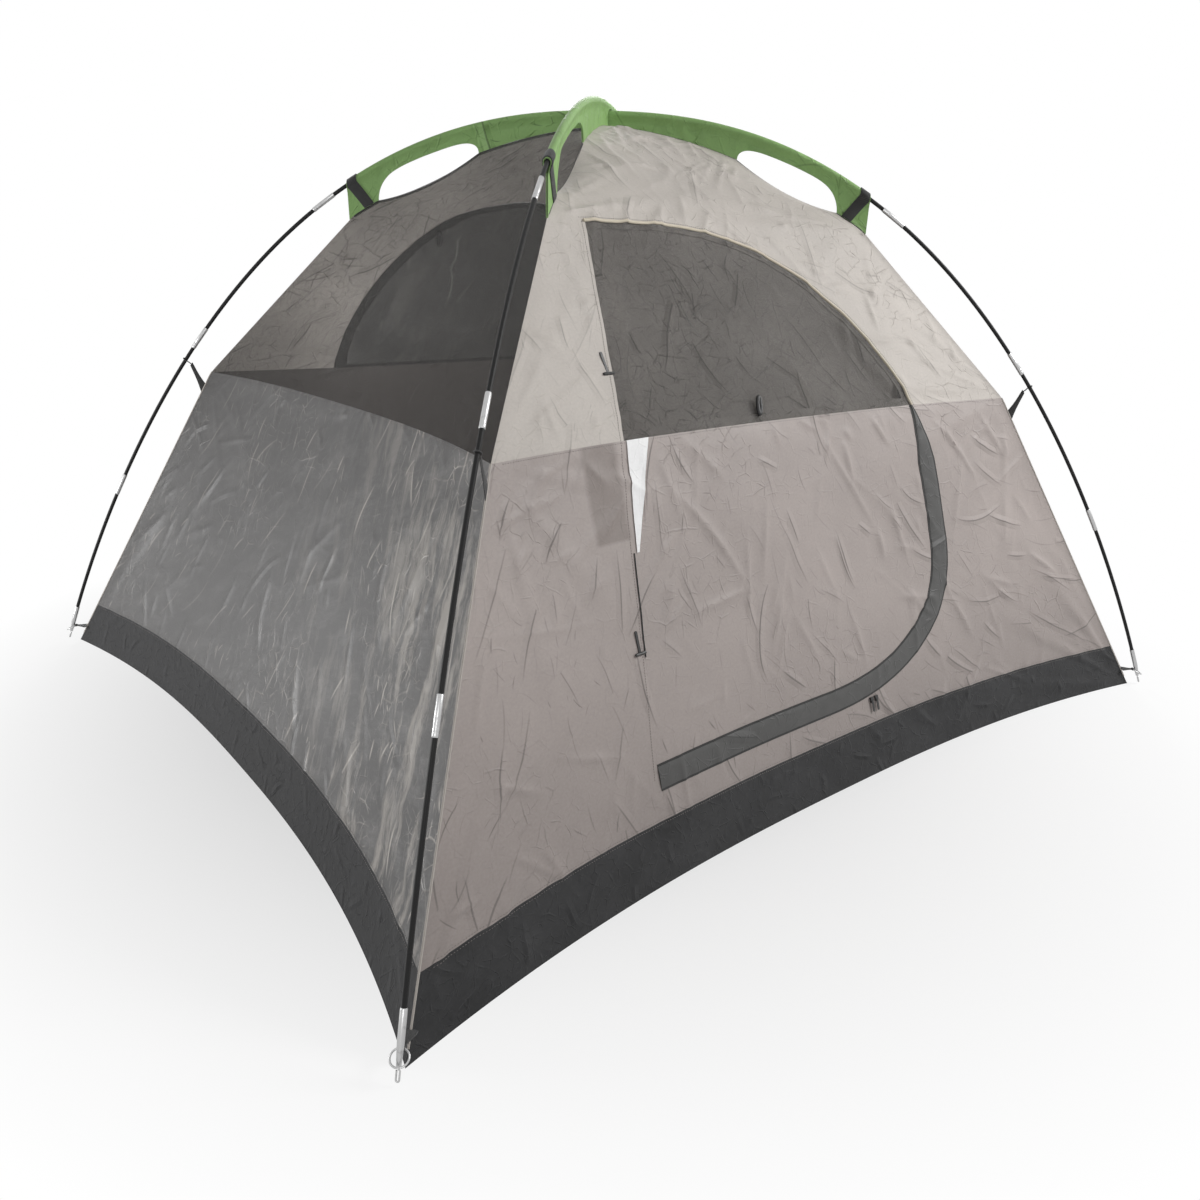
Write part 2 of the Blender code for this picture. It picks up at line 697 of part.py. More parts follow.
def window_flap(name, wall, edge, pivot_name):
    """The cloth flap that closes a window from inside and folds down along the band."""
    low = BAND + WINDOW_INSET
    place = flap_plane(wall)
    hinge = pivot_empty(pivot_name, place(0, low, CLOTH / 2), wall.turn @ Vector((-1, 0, 0)))
    flat = cut(closed_foot(edge(-WINDOW_INSET, low)), step=CLOTH_STEP)
    return hinge, add(name, sheet(flat, place), "storm_cloth", hinge)


def storm_flap_outline():
    """Strip along the foot and the right side of the door, coming to a point at the band."""
    outer = door_lower(FLAP_WIDTH / 2, BAND)
    inner = door_lower(-FLAP_WIDTH / 2, BAND)
    middle = door_lower(0, BAND)

    def narrowed(run):
        points = []
        for (x, girth), (mid_x, mid_girth) in zip(run, middle):
            share = min(1.0, max(FLAP_POINT, (BAND - girth) / FLAP_TAPER)) if x > 0 else 1.0
            points.append((mid_x + (x - mid_x) * share, mid_girth + (girth - mid_girth) * share))
        return points

    foot = len(outer) - len(spread([(DOOR_FOOT_LEFT, DOOR_SILL), (DOOR_BAND_LEFT, BAND)])) + 1
    outer, inner = narrowed(outer)[:foot], narrowed(inner)[:foot]
    end = DOOR_FOOT_LEFT + FLAP_INSET
    outer[-1] = (end, outer[-1][1])
    inner[-1] = (end, inner[-1][1])
    return outer + inner[::-1]


def door():
    """D-shaped door: lower panel, mesh window with its inner flap, storm flap and a blank label."""
    place, axis = door_axis()
    hinge = pivot_empty("door_hinge", place, axis)
    low, high = BAND - SEAM_GAP / 2, BAND + SEAM_GAP / 2
    lower = cut(closed_foot(door_lower(0, low)), step=CLOTH_STEP)
    add("door_lower_panel", sheet(lower, FRONT.point), "taupe_cloth", hinge)
    window = cut(closed_foot(door_upper(0, high)), step=CLOTH_STEP)
    add("door_window_mesh", sheet(window, FRONT.point), "dark_mesh", hinge)

    def on_top(across, girth, depth):
        return FRONT.point(across, girth, depth - CLOTH - LAYER_LIFT)

    flap = cut(storm_flap_outline(), step=CLOTH_STEP)
    add("door_zip_flap", sheet(flap, on_top), "storm_cloth", hinge)
    top = BAND - SEAM_GAP
    left = [(door_hinge_x(g) + LABEL_INSET, g) for g in (top, top - LABEL_LENGTH)]
    tip = (left[1][0] + LABEL_INSET, left[1][1])
    label = [left[1], tip, (left[0][0] + LABEL_WIDTH, top), left[0]]
    add("care_label", sheet(cut(spread(label + label[:1])[:-1]), on_top), "white_label", hinge)
    flap_hinge, _ = window_flap("door_window_flap", FRONT, door_upper, "door_flap_fold")
    flap_hinge.parent = hinge
    flap_hinge.matrix_parent_inverse = hinge.matrix_world.inverted()


# Poles and what holds the body to them


def pole(name):
    """One bow in seven pieces: a socket ferrule on each takes the plain end of the next."""
    bow = Bow(name)
    ferrule, half = FERRULE_DIAMETER / 2, FERRULE_LENGTH / 2
    joints = [FIRST_JOINT + SECTION_LENGTH * i for i in range(3)]
    tip = bow.at_height(TIP_HEIGHT)
    bore = PIN_DIAMETER / 2 + GAP
    steel_end = tip + TIP_TAPER + TIP_LENGTH
    foot = [(tip + PIN_DEPTH, bore), (tip, bore), (tip, TIP_END_DIAMETER / 2)]
    foot += [(tip + TIP_TAPER, TIP_DIAMETER / 2), (steel_end, TIP_DIAMETER / 2), (steel_end, POLE_RADIUS)]
    starts = [foot] + [[(joint + GAP, POLE_RADIUS), (joint + half, POLE_RADIUS)] for joint in joints]
    for end, mirrored in ((POLES[name][0], False), (POLES[name][1], True)):
        for part, start, joint in zip(("lower", "middle", "upper"), starts, joints):
            rod = np.arange(start[-1][0] + ROD_STEP, joint - half - ROD_STEP / 2, ROD_STEP)
            stations = start + [(float(s), POLE_RADIUS) for s in rod]
            stations += [(joint - half, POLE_RADIUS), (joint - half, ferrule), (joint + half, ferrule)]
            stations += [(joint + half, POLE_RADIUS + GAP), (joint, POLE_RADIUS + GAP)]
            if mirrored:
                stations = [(bow.length - s, radius) for s, radius in stations]
            frames = [(*bow.frame(s), radius) for s, radius in stations]
            add(f"pole_{end}_{part}", turned(frames), "black_rod")
    start = joints[-1] + GAP
    span = bow.length - 2 * (joints[-1] + half)
    inner = joints[-1] + half + np.linspace(0, span, math.ceil(span / TOP_STEP) + 1)
    rings = [start, *inner, bow.length - start]
    frames = [(*bow.frame(float(s)), POLE_RADIUS) for s in rings]
    add(f"pole_{name}_top", turned(frames), "black_rod")


class Corner:
    """Places round one pole foot and up its corner seam, in the diagonal plane."""

    def __init__(self, name):
        self.name = name
        self.pole = next(key for key, ends in POLES.items() if name in ends[:2])
        self.bow = Bow(self.pole)
        self.top = POLES[self.pole][2]
        self.mirrored = POLES[self.pole][1] == name
        self.out = CORNERS[name]
        self.side = UP.cross(self.out)

    def place(self, reach, height, aside=0.0):
        return self.out * reach + UP * height + self.side * aside

    def line_at(self, height, further=0.0):
        return self.line(self.bow.at_height(height) + further)

    def line(self, along):
        """Point on the pole's middle line, and the direction up the pole, as reach and height."""
        out = CORNERS[POLES[self.pole][0]]
        point, direction = self.bow.point(along), self.bow.direction(along)
        return Vector((point.dot(out), point.z)), Vector((direction.dot(out), direction.z))


def pin(corner):
    """Wire pin in the pole's tip, bent to a long eye below it."""
    tip, _ = corner.line_at(TIP_HEIGHT)
    up = (corner.line_at(TIP_HEIGHT, PIN_DEPTH)[0] - tip).normalized()
    half = EYE_WIDTH / 2 - PIN_DIAMETER / 2
    neck = -PIN_NECK
    path = [(0, PIN_DEPTH - GAP), (0, PIN_DEPTH / 2), (0, neck)]
    turn = [math.pi * i / 6 for i in range(7)]
    path.append((half, neck - half))
    path += [(half * math.cos(a), neck - EYE_LENGTH + half - half * math.sin(a)) for a in turn]
    path.append((-half, neck - half))
    points = [corner.place(*(tip + up * y), x) for x, y in path]
    add(f"pin_{corner.name}", wire(points, PIN_DIAMETER / 2), "bright_steel")


def ring(corner):
    """Steel ring round the pole's tip, free to turn in its webbing loop."""
    middle, _ = corner.line_at(RING_HEIGHT)
    down = Vector((math.sin(RING_TILT), -math.cos(RING_TILT)))
    across = Vector((math.cos(RING_TILT), math.sin(RING_TILT)))
    centre = corner.place(*middle)
    path = []
    for i in range(RING_POINTS):
        angle = 2 * math.pi * i / RING_POINTS
        spot = middle + down * (RING_DIAMETER / 2 * math.cos(angle))
        path.append(corner.place(*spot, RING_DIAMETER / 2 * math.sin(angle)))
    axis = corner.out * across.x + UP * across.y
    hinge = pivot_empty(f"ring_turn_{corner.name}", centre, axis)
    add(f"ring_{corner.name}", wire(path, RING_WIRE / 2, closed=True), "bright_steel", hinge)
    return middle - down * (RING_DIAMETER / 2)


def webbing(corner, grip):
    """Webbing from the corner of the hem, gathered to a loop round the ring."""
    radius = RING_DIAMETER / 2
    bow_in_loop = radius - math.sqrt(radius**2 - (LOOP_WIDTH / 2) ** 2)
    hole = RING_WIRE / 2 + GAP + bow_in_loop
    outer = hole + LOOP_WALL
    half = WEBBING_THICKNESS / 2
    root = PROFILE.at(PROFILE.girth_at(grip.y))[0] + GAP
    foot = PROFILE.at(PROFILE.girth_at(grip.y + half))[0] + GAP
    meet = math.asin(half / outer)
    round_end = np.linspace(math.pi - meet, -math.pi + meet, 11)
    loop = [(grip.x + outer * math.cos(a), grip.y + outer * math.sin(a)) for a in round_end]
    low_root = PROFILE.at(PROFILE.girth_at(grip.y - half))[0] + GAP
    outline = [(low_root, grip.y - half), (foot, grip.y + half), *loop]
    turns = np.linspace(0, 2 * math.pi, 11)[:-1]
    bore = [(grip.x + hole * math.cos(a), grip.y + hole * math.sin(a)) for a in turns]
    narrow = grip.x - outer

    def place(reach, height, depth):
        share = min(1.0, max(0.0, (reach - root) / (narrow - root)))
        width = WEBBING_WIDTH + (LOOP_WIDTH - WEBBING_WIDTH) * share
        return corner.place(reach, height, depth * width - width / 2)

    add(f"webbing_{corner.name}", sheet(cut(outline, [bore]), place, 1.0), "black_webbing")


def hook_and_tab(corner):
    """Wire hook on the pole, on a tapered tab that is sewn to the corner seam."""
    middle, up = corner.line(HOOK_ALONG)
    inward = Vector((-up.y, up.x))
    if inward.x > 0:
        inward = -inward
    turn = POLE_RADIUS + GAP + HOOK_WIRE / 2
    end = middle + inward * (turn + HOOK_SHANK)
    path = [corner.place(*end), corner.place(*(middle + inward * (turn + HOOK_SHANK / 2)))]
    for angle in np.linspace(math.radians(28), HOOK_WRAP, 12):
        spot = middle + inward * (turn * math.cos(angle))
        path.append(corner.place(*spot, turn * math.sin(angle)))
    add(f"hook_{corner.name}", wire(path, HOOK_WIRE / 2), "black_plastic")

    def seam(height):
        reach, level = PROFILE.at(PROFILE.girth_at(height), -GAP)
        return reach, level

    tip = end + inward * GAP
    outline = [seam(TAB_HEIGHT - TAB_ROOT / 2), tuple(tip - up * TAB_TIP / 2)]
    outline += [tuple(tip + up * TAB_TIP / 2), seam(TAB_HEIGHT + TAB_ROOT / 2)]

    def place(reach, height, depth):
        return corner.place(reach, height, depth - TAB_THICKNESS / 2)

    add(f"tab_{corner.name}", sheet(cut(outline), place, TAB_THICKNESS), "black_webbing")


# Pole sleeves


class Sleeve:
    """A fold of cloth over a pole, closed to a fin below it and sewn to the ridge of the roof."""

    def __init__(self, pole_name):
        first, _, self.top = POLES[pole_name]
        self.over = pole_name == "a"
        self.out = CORNERS[first]
        self.side = UP.cross(self.out)

    def foot(self, reach):
        """Height of the fin's lower edge: on the ridge, round the cut-out, or over the other sleeve."""
        reach = abs(reach)
        ridge = PROFILE.height_at_reach(reach) + GAP
        middle = bow_height(reach, self.top)
        share = 2 * (reach - CUTOUT_INNER) / (CUTOUT_OUTER - CUTOUT_INNER) - 1
        if abs(share) < 1:
            open_share = (1 - abs(share) ** CUTOUT_ROUND) ** 0.5
            return ridge + (middle - SLEEVE_STRIP - ridge) * open_share
        if self.over and reach < self.crossing():
            return POLE_TOP - CROSS_DROP + SLEEVE_OUTER + GAP
        return ridge

    @staticmethod
    def crossing():
        return CROSSING_ROOM * SLEEVE_OUTER + 2 * CLOTH

    def section(self, reach, layer):
        """One side of the fold from its top to its foot, at a layer above the inner face."""
        rise = bow_height(abs(reach) + NIP, self.top) - bow_height(abs(reach) - NIP, self.top)
        stretch = math.hypot(1, rise / (2 * NIP))
        middle = bow_height(abs(reach), self.top)
        radius = SLEEVE_INNER + layer
        foot = self.foot(reach)
        points = []
        for angle in (0, 45, 90, 130):
            turn = math.radians(angle)
            points.append((radius * math.sin(turn), middle + radius * math.cos(turn) * stretch))
        fin = SLEEVE_SLIT / 2 + layer
        wrapped = POLE_RADIUS * stretch + GAP
        neck = max(middle - SLEEVE_NECK * stretch, (foot + middle - wrapped) / 2)
        points += [(fin, neck), (fin, foot)]
        return points

    def place(self, reach, aside, height):
        return self.out * reach + self.side * aside + UP * height

    def ring(self, reach):
        outer = self.section(reach, CLOTH)
        inner = self.section(reach, 0.0)
        fold = [(-x, z) for x, z in reversed(outer)] + outer[1:]
        fold += list(reversed(inner)) + [(-x, z) for x, z in inner[1:]]
        return [self.place(reach, x, z) for x, z in fold]

    def stations(self):
        half = [0.0]
        if self.over:
            half += [self.crossing() * 0.98, self.crossing() * 1.02]
        half += list(np.linspace(2 * self.crossing(), CUTOUT_INNER, FIN_STATIONS))
        middle = (CUTOUT_INNER + CUTOUT_OUTER) / 2
        reach = (CUTOUT_OUTER - CUTOUT_INNER) / 2
        turns = np.linspace(math.pi, 0, SLEEVE_STATIONS)
        half += [middle + reach * math.cos(turn) for turn in turns][1:]
        half += sorted([EAVE_REACH, *np.linspace(CUTOUT_OUTER, SLEEVE_REACH, 3)[1:]])
        return [-r for r in reversed(half[1:])] + half

    def strap(self, sign):
        """Webbing over a sleeve's end, leaning in to its foot on the ridge, as rings across it."""
        top = SLEEVE_REACH - STRAP_WIDTH / 2 - GAP
        rings = []
        for side in (-1, 1):
            run = []
            for step, share in enumerate(STRAP_LEANS):
                lean = STRAP_LEAN * share
                edges = []
                for edge, layer in ((-1, 0), (1, 0), (1, 1), (-1, 1)):
                    reach = top - lean + edge * STRAP_WIDTH / 2
                    x, z = self.section(reach, CLOTH + GAP + layer * CLOTH)[step]
                    edges.append(self.place(sign * reach, side * x, z + (GAP if share == 1 else 0)))
                run.append(edges)
            rings += list(reversed(run)) if side < 0 else run[1:]
        return rings


def sleeves():
    for name in POLES:
        sleeve = Sleeve(name)
        add(f"pole_sleeve_{name}", lofted([sleeve.ring(r) for r in sleeve.stations()]), "green_cloth")
        for corner, sign in zip(POLES[name][:2], (1, -1)):
            add(f"sleeve_strap_{corner}", lofted(sleeve.strap(sign)), "black_webbing")


# Zip sliders and toggles


def wall_plate(outline, across, girth, lift, thickness):
    """A small flat piece laid on the front wall, its outline in distances across and up from a spot."""
    normal = FRONT.normal(across, girth)
    spot = FRONT.point(across, girth)
    along = (FRONT.point(across + NIP, girth) - spot).normalized()
    up = normal.cross(along)

    def place(x, y, depth):
        return spot + along * x + up * y + normal * (lift + depth)

    return sheet(cut(outline), place, thickness)


def rounded(width, length, top):
    """An outline with round ends, from a top edge down."""
    half = width / 2
    turns = [math.pi * i / 6 for i in range(7)]
    upper = [(half * math.cos(a), top - half + half * math.sin(a)) for a in turns]
    lower = [(-half * math.cos(a), top - length + half - half * math.sin(a)) for a in turns]
    return upper + lower


def slider(name, across, run):
    """Zip slider just under the storm flap's edge, with its pull hanging down the sill."""
    girth = DOOR_SILL - FLAP_WIDTH / 2 - SLIDER_LENGTH / 2 - 2 * GAP
    body_outline = [
        (-SLIDER_WIDTH / 2, SLIDER_LENGTH / 2),
        (-SLIDER_WIDTH / 3, -SLIDER_LENGTH / 2),
        (SLIDER_WIDTH / 3, -SLIDER_LENGTH / 2),
        (SLIDER_WIDTH / 2, SLIDER_LENGTH / 2),
    ]
    start = FRONT.point(across, girth)
    hinge = pivot_empty(f"{name}_run", start, FRONT.point(across + run, girth) - start)
    body_form = wall_plate(body_outline, across, girth, SLIDER_LIFT, SLIDER_THICKNESS)
    body = add(name, body_form, "black_plastic", hinge, smooth=False)
    lift = SLIDER_LIFT + SLIDER_THICKNESS - PULL_THICKNESS / 2
    pull_form = wall_plate(rounded(PULL_WIDTH, PULL_LENGTH, 0.0), across, girth, lift, PULL_THICKNESS)
    pull = add(f"{name}_pull", pull_form, "black_plastic", hinge, smooth=False)
    joined(body, pull)


def toggle(name, girth):
    """Bar toggle on a short loop, sewn beside the door's hinge seam, to tie the rolled door."""
    across = door_hinge_x(girth) - TOGGLE_INSET
    normal = FRONT.normal(across, girth)
    spot = FRONT.point(across, girth)
    hinge = pivot_empty(f"{name}_swing", spot, normal)
    loop_outline = rounded(TOGGLE_LOOP_WIDTH, TOGGLE_LOOP, TOGGLE_LOOP_WIDTH / 2)
    loop_form = wall_plate(loop_outline, across, girth, SLIDER_LIFT, TOGGLE_LOOP_THICKNESS)
    loop = add(name, loop_form, "black_webbing", hinge, smooth=False)
    along = (FRONT.point(across + NIP, girth) - spot).normalized()
    up = normal.cross(along)
    radius = TOGGLE_DIAMETER / 2
    middle = spot + up * (TOGGLE_LOOP_WIDTH / 2 - TOGGLE_LOOP) + normal * (SLIDER_LIFT + radius)
    frames = [(middle + along * (t * TOGGLE_LENGTH), up, normal, radius * r) for t, r in TOGGLE_PROFILE]
    bar = add(f"{name}_bar", turned(frames), "black_plastic", hinge)
    joined(loop, bar)


def main():
    for old in list(bpy.data.objects):
        bpy.data.objects.remove(old, do_unlink=True)
    floor_tub()
    walls()
    door()
    window_flap("rear_window_flap", REAR, rear_arch, "rear_flap_fold")
    for name in POLES:
        pole(name)
    for name in CORNERS:
        corner = Corner(name)
        pin(corner)
        grip = ring(corner)
        webbing(corner, grip)
        hook_and_tab(corner)
    sleeves()
    slider("door_zip_slider_left", SLIDER_PLACE, SLIDER_LEFT_RUN)
    slider("door_zip_slider_right", SLIDER_PLACE + SLIDER_PITCH, SLIDER_RIGHT_RUN)
    for name, girth in TOGGLE_GIRTHS.items():
        toggle(name, girth)
    bpy.context.view_layer.update()


main()
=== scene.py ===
"""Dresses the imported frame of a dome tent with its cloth, mesh, poles, webbing and fittings.

Metres, +Z up, and the door faces -Y. Cloth is cut flat, in distance across a wall and girth up it
from the floor's edge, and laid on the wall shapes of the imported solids, with folds and creases added.
"""
import json
import math

import bmesh
import bpy
import numpy as np
from bpy.props import FloatProperty, FloatVectorProperty, IntProperty, PointerProperty
from mathutils import Matrix, Vector, kdtree, noise
from mathutils.geometry import delaunay_2d_cdt


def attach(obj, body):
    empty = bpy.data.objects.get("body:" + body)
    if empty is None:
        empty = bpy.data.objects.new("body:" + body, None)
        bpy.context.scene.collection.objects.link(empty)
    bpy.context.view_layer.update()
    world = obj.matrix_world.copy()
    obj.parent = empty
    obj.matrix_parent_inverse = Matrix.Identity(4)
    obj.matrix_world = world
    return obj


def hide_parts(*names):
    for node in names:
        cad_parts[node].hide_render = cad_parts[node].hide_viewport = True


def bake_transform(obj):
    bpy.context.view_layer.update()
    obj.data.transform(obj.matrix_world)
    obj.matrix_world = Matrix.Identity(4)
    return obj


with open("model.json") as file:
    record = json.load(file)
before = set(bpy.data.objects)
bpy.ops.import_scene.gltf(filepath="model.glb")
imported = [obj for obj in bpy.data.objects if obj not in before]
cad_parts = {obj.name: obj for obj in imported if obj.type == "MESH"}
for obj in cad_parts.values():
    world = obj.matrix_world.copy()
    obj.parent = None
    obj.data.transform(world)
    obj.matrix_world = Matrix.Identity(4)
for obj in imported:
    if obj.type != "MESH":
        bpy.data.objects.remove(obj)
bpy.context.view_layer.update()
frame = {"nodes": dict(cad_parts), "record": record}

bl_info = {
    "name": "Dome tent dressing",
    "version": (1, 0, 0),
    "blender": (4, 5, 0),
    "location": "View3D > Sidebar > Tent",
    "description": "Dresses the packed frame of a dome tent",
    "category": "Object",
}

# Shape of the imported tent: poles
POLE_SPAN_X = 2.50
POLE_SPAN_Y = 2.20
POLE_TOP = 1.492
POLE_BOW = 0.95
POLE_FULL = 2.3
POLE_RADIUS = 0.00475
FERRULE_RADIUS = 0.0059
FERRULE_HALF = 0.034
FIRST_JOINT = 0.566
SECTION_LENGTH = 0.512
TIP_HEIGHT = 0.028
TIP_RADIUS = 0.0061
TIP_END_RADIUS = 0.0041
TIP_TAPER = 0.036
TIP_LENGTH = 0.055

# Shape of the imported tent: cloth
FLOOR_GAP = 0.035
BAND_HEIGHT = 0.83
BAND_GAP = 0.0986
EAVE_SHARE = 0.3937
EAVE_DROP = 0.0909
ROOF_DROP = 0.042
RIDGE_DIP = 0.022
DIP_SHAPE = 5.0
ROOF_CURVE = 1.7
HEM_HEIGHT = 0.12
FLOOR_SAG = 0.122
BAND_SAG = 0.065
EAVE_SAG = 0.035
SAG_SHAPE = 2.5
APEX_CUT = 0.014
FOLD_ROUND = 0.014  # half the length of cloth over which the eave's fold is rounded

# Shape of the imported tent: door, windows and label
DOOR_SILL = 0.24
DOOR_TOP = 1.563
DOOR_WIDEST = 0.62
DOOR_FOOT_LEFT = -0.555
DOOR_BAND_LEFT = -0.481
DOOR_TOP_LEFT = -0.397
DOOR_RIGHT = 0.505
DOOR_ARCH_CENTRE = -0.24
DOOR_FOOT_CENTRE = 0.0
DOOR_ROUND = 2.3
STORM_FLAP_WIDTH = 0.052
STORM_FLAP_INSET = 0.004
STORM_FLAP_TAPER = 0.16
ZIP_TAPE_MARGIN = 0.011
WINDOW_INSET = 0.018
DOOR_FLAP_INSET = 0.005
REAR_FLAP_INSET = 0.028
TAPE_WIDTH = 0.024
DOOR_TAPE_WIDTH = 0.014
REAR_TAPE_WIDTH = 0.055
LABEL_WIDTH = 0.060
LABEL_LENGTH = 0.245
LABEL_INSET = 0.006
REAR_HALF_WIDTH = 0.48
REAR_TOP = 1.70
REAR_ROUND = 1.8

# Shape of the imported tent: sleeves, webbing and foot fittings
SLEEVE_OVERHANG = 0.012
SLEEVE_INNER = 0.0066
SLEEVE_CLOTH = 0.002
SLEEVE_SLIT = 0.0006
SLEEVE_NECK = 0.017
SLEEVE_STRIP = 0.027
CUTOUT_START = 0.496
CUTOUT_END = 0.897
CUTOUT_ROUND = 6.0
CROSSING_ROOM = 1.25
STRAP_WIDTH = 0.025
STRAP_LEAN = 0.042
GAP = 0.0003
RING_RADIUS = 0.0152
RING_WIRE = 0.0017
RING_HEIGHT = 0.041
RING_TILT = math.radians(64)
PIN_RADIUS = 0.0015
PIN_DEPTH = 0.030
PIN_NECK = 0.003
EYE_LENGTH = 0.020
EYE_WIDTH = 0.0085
WEBBING_WIDTH = 0.025
WEBBING_HALF = 0.0018
LOOP_WIDTH = 0.007
LOOP_WALL = 0.0012
HOOK_PLACE = 0.85
HOOK_WIRE = 0.0015
HOOK_SHANK = 0.011
HOOK_WRAP = math.radians(255)
TAB_DROP = 0.045
TAB_ROOT = 0.024
TAB_TIP = 0.011
TAB_THICKNESS = 0.002
TOGGLE_INSET = 0.022
TOGGLE_GIRTHS = (1.215, 0.575)
POCKET_SHADOW = (-0.553, 0.885, 0.052, 0.112)  # painted shadow of a pocket behind the front wall, seen through the cloth: middle x and girth, half sizes

# Cloth of the scene, in heights over a wall's shape
TAPE_DEPTH = -0.0022
FOOT_TAPE_DEPTH = -0.0012
TAPE_STEP = 0.008
TAPE_SPACE = 0.001
FLAP_ROOT_DEPTH = 0.0036
FLAP_MIDDLE_DEPTH = 0.0055
FLAP_WRINKLE = 0.0012
FLAP_ZIP_DEPTH = 0.0038
STORM_FLAP_LIFT = 0.0015
STORM_FLAP_CROWN = 0.0016
STORM_FLAP_RIPPLE = 0.0008
ZIP_TAPE_LIFT = 0.0009
LABEL_LIFT = 0.0022
LABEL_STEP = 0.006
FLOOR_STEP = 0.035
MESH_COVER = 0.33  # share of the light that one layer of mesh stops

# Piping, cords, stitches and teeth of the scene
FINE_SIDES = 8
PIPING_RADIUS = 0.0034
PIPING_LIFT = 0.0014
BINDING_RADIUS = 0.002
RIDGE_RADIUS = 0.0028
RIDGE_DEPTH = 0.0032
# Radius and lift of the thin dark tube that paints the hinge seam's shadow
SEAM_SHADOW_RADIUS = 0.0013
SEAM_SHADOW_LIFT = 0.0012
PULL_WIRE = 0.0046
PULL_HALF_WIDTH = 0.0045
PULL_HALF_LENGTH = 0.024
PULL_LEAN = 0.005
STITCH = (0.0021, 0.0006, 0.0005)  # half sizes along, across and off the cloth
STITCH_LIFT = 0.0004
TOOTH = (0.0007, 0.0019, 0.0008)
TOOTH_LIFT = 0.0006
TOOTH_PITCH = 0.0026

# Values that follow from these
POLE_REACH = math.hypot(POLE_SPAN_X, POLE_SPAN_Y) / 2
SHARE_X = POLE_SPAN_X / 2 / POLE_REACH
SHARE_Y = POLE_SPAN_Y / 2 / POLE_REACH
SLEEVE_OUTER = SLEEVE_INNER + SLEEVE_CLOTH
CROSS_DROP = POLE_RADIUS + SLEEVE_OUTER + SLEEVE_CLOTH + 2 * GAP
ROOF_TOP = POLE_TOP - ROOF_DROP
EAVE_REACH = POLE_REACH * EAVE_SHARE
EAVE_HEIGHT = POLE_TOP * (1 - EAVE_SHARE**POLE_FULL) ** POLE_BOW - EAVE_DROP
SLEEVE_REACH = EAVE_REACH + SLEEVE_OVERHANG
CUTOUT_INNER = EAVE_REACH * CUTOUT_START
CUTOUT_OUTER = EAVE_REACH * CUTOUT_END
HOOK_ALONG = FIRST_JOINT + SECTION_LENGTH * HOOK_PLACE
TAB_HEIGHT = BAND_HEIGHT - TAB_DROP
UP = np.array((0.0, 0.0, 1.0))
CORNERS = {
    "front_left": np.array((-SHARE_X, -SHARE_Y, 0.0)),
    "front_right": np.array((SHARE_X, -SHARE_Y, 0.0)),
    "rear_right": np.array((SHARE_X, SHARE_Y, 0.0)),
    "rear_left": np.array((-SHARE_X, SHARE_Y, 0.0)),
}
POLES = {
    "a": ("front_left", "rear_right", POLE_TOP),
    "b": ("front_right", "rear_left", POLE_TOP - CROSS_DROP),
}
SLOT_COLOURS = {entry["slot"]: entry["base_color"] for entry in frame["record"]["materials"]}


# Settings


def colour_setting(name, start):
    """A colour that starts as given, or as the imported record's own for a finish that is named."""
    return FloatVectorProperty(
        name=name,
        description=f"Colour of the {name.lower()}",
        subtype="COLOR",
        size=3,
        min=0,
        max=1,
        default=SLOT_COLOURS.get(start, start),
    )


def number_setting(name, description, start, unit="NONE"):
    return FloatProperty(name=name, description=description, default=start, min=0, unit=unit)


def count_setting(name, description, start, least):
    return IntProperty(name=name, description=description, default=start, min=least)


class TentCloth(bpy.types.PropertyGroup):
    near_step: number_setting("Near step", "Distance between points of the near walls", 0.0068, "LENGTH")
    far_step: number_setting("Far step", "Distance between points of the far walls", 0.011, "LENGTH")
    thickness: number_setting("Thickness", "Thickness of one layer of cloth", 0.0008, "LENGTH")
    fold_height: number_setting("Fold height", "Height of the long, soft folds", 0.016, "LENGTH")
    crease_height: number_setting("Crease height", "Height of the highest creases", 0.0105, "LENGTH")
    crease_count: count_setting("Creases", "Number of sharp creases on a wall", 520, 0)
    beige: colour_setting("Beige cloth", "beige_cloth")
    taupe: colour_setting("Taupe cloth", (0.4, 0.352, 0.332))
    grey: colour_setting("Grey cloth", (0.078, 0.0755, 0.074))
    mesh: colour_setting("Dark mesh", (0.095, 0.09, 0.085))
    floor: colour_setting("Floor cloth", (0.042, 0.042, 0.043))
    green: colour_setting("Green cloth", (0.26, 0.44, 0.153))
    storm: colour_setting("Storm cloth", (0.08, 0.079, 0.077))
    flap: colour_setting("Window flap", (0.47, 0.435, 0.4))
    label: colour_setting("White label", (0.9, 0.9, 0.89))
    piping: colour_setting("Cream piping", (0.66, 0.59, 0.47))


class TentHardware(bpy.types.PropertyGroup):
    round_sides: count_setting("Round sides", "Number of sides of rods and wires", 14, 6)
    stitch_pitch: number_setting("Stitch pitch", "Distance from stitch to stitch", 0.0062, "LENGTH")
    rod: colour_setting("Rod", "black_rod")
    steel: colour_setting("Steel", "bright_steel")
    plastic: colour_setting("Plastic", "black_plastic")
    webbing: colour_setting("Webbing", "black_webbing")


class TentStage(bpy.types.PropertyGroup):
    lens: number_setting("Lens", "Focal length of the camera", 28.33, "CAMERA")
    key_power: number_setting("Key light", "Power of the large lamp at the front", 118.0, "POWER")
    fill_power: number_setting("Fill light", "Power of the large lamp on the left", 30.0, "POWER")
    sheen_power: number_setting("Sheen light", "Power of the lamp for the left wall's sheen", 46.0, "POWER")
    back_power: number_setting("Back light", "Power of the large lamp behind the tent", 78.0, "POWER")
    sky: number_setting("Sky", "Level of the even light from all round", 0.16)
    glow: number_setting("Glow", "Power of the light that the cloth lets in", 8.0, "POWER")


# Shapes of the bowed poles and of the stretched cloth


def smooth(values, low, high):
    share = np.clip((values - low) / (high - low), 0, 1)
    return share * share * (3 - 2 * share)


def unit(vectors):
    return vectors / np.linalg.norm(vectors, axis=-1, keepdims=True)


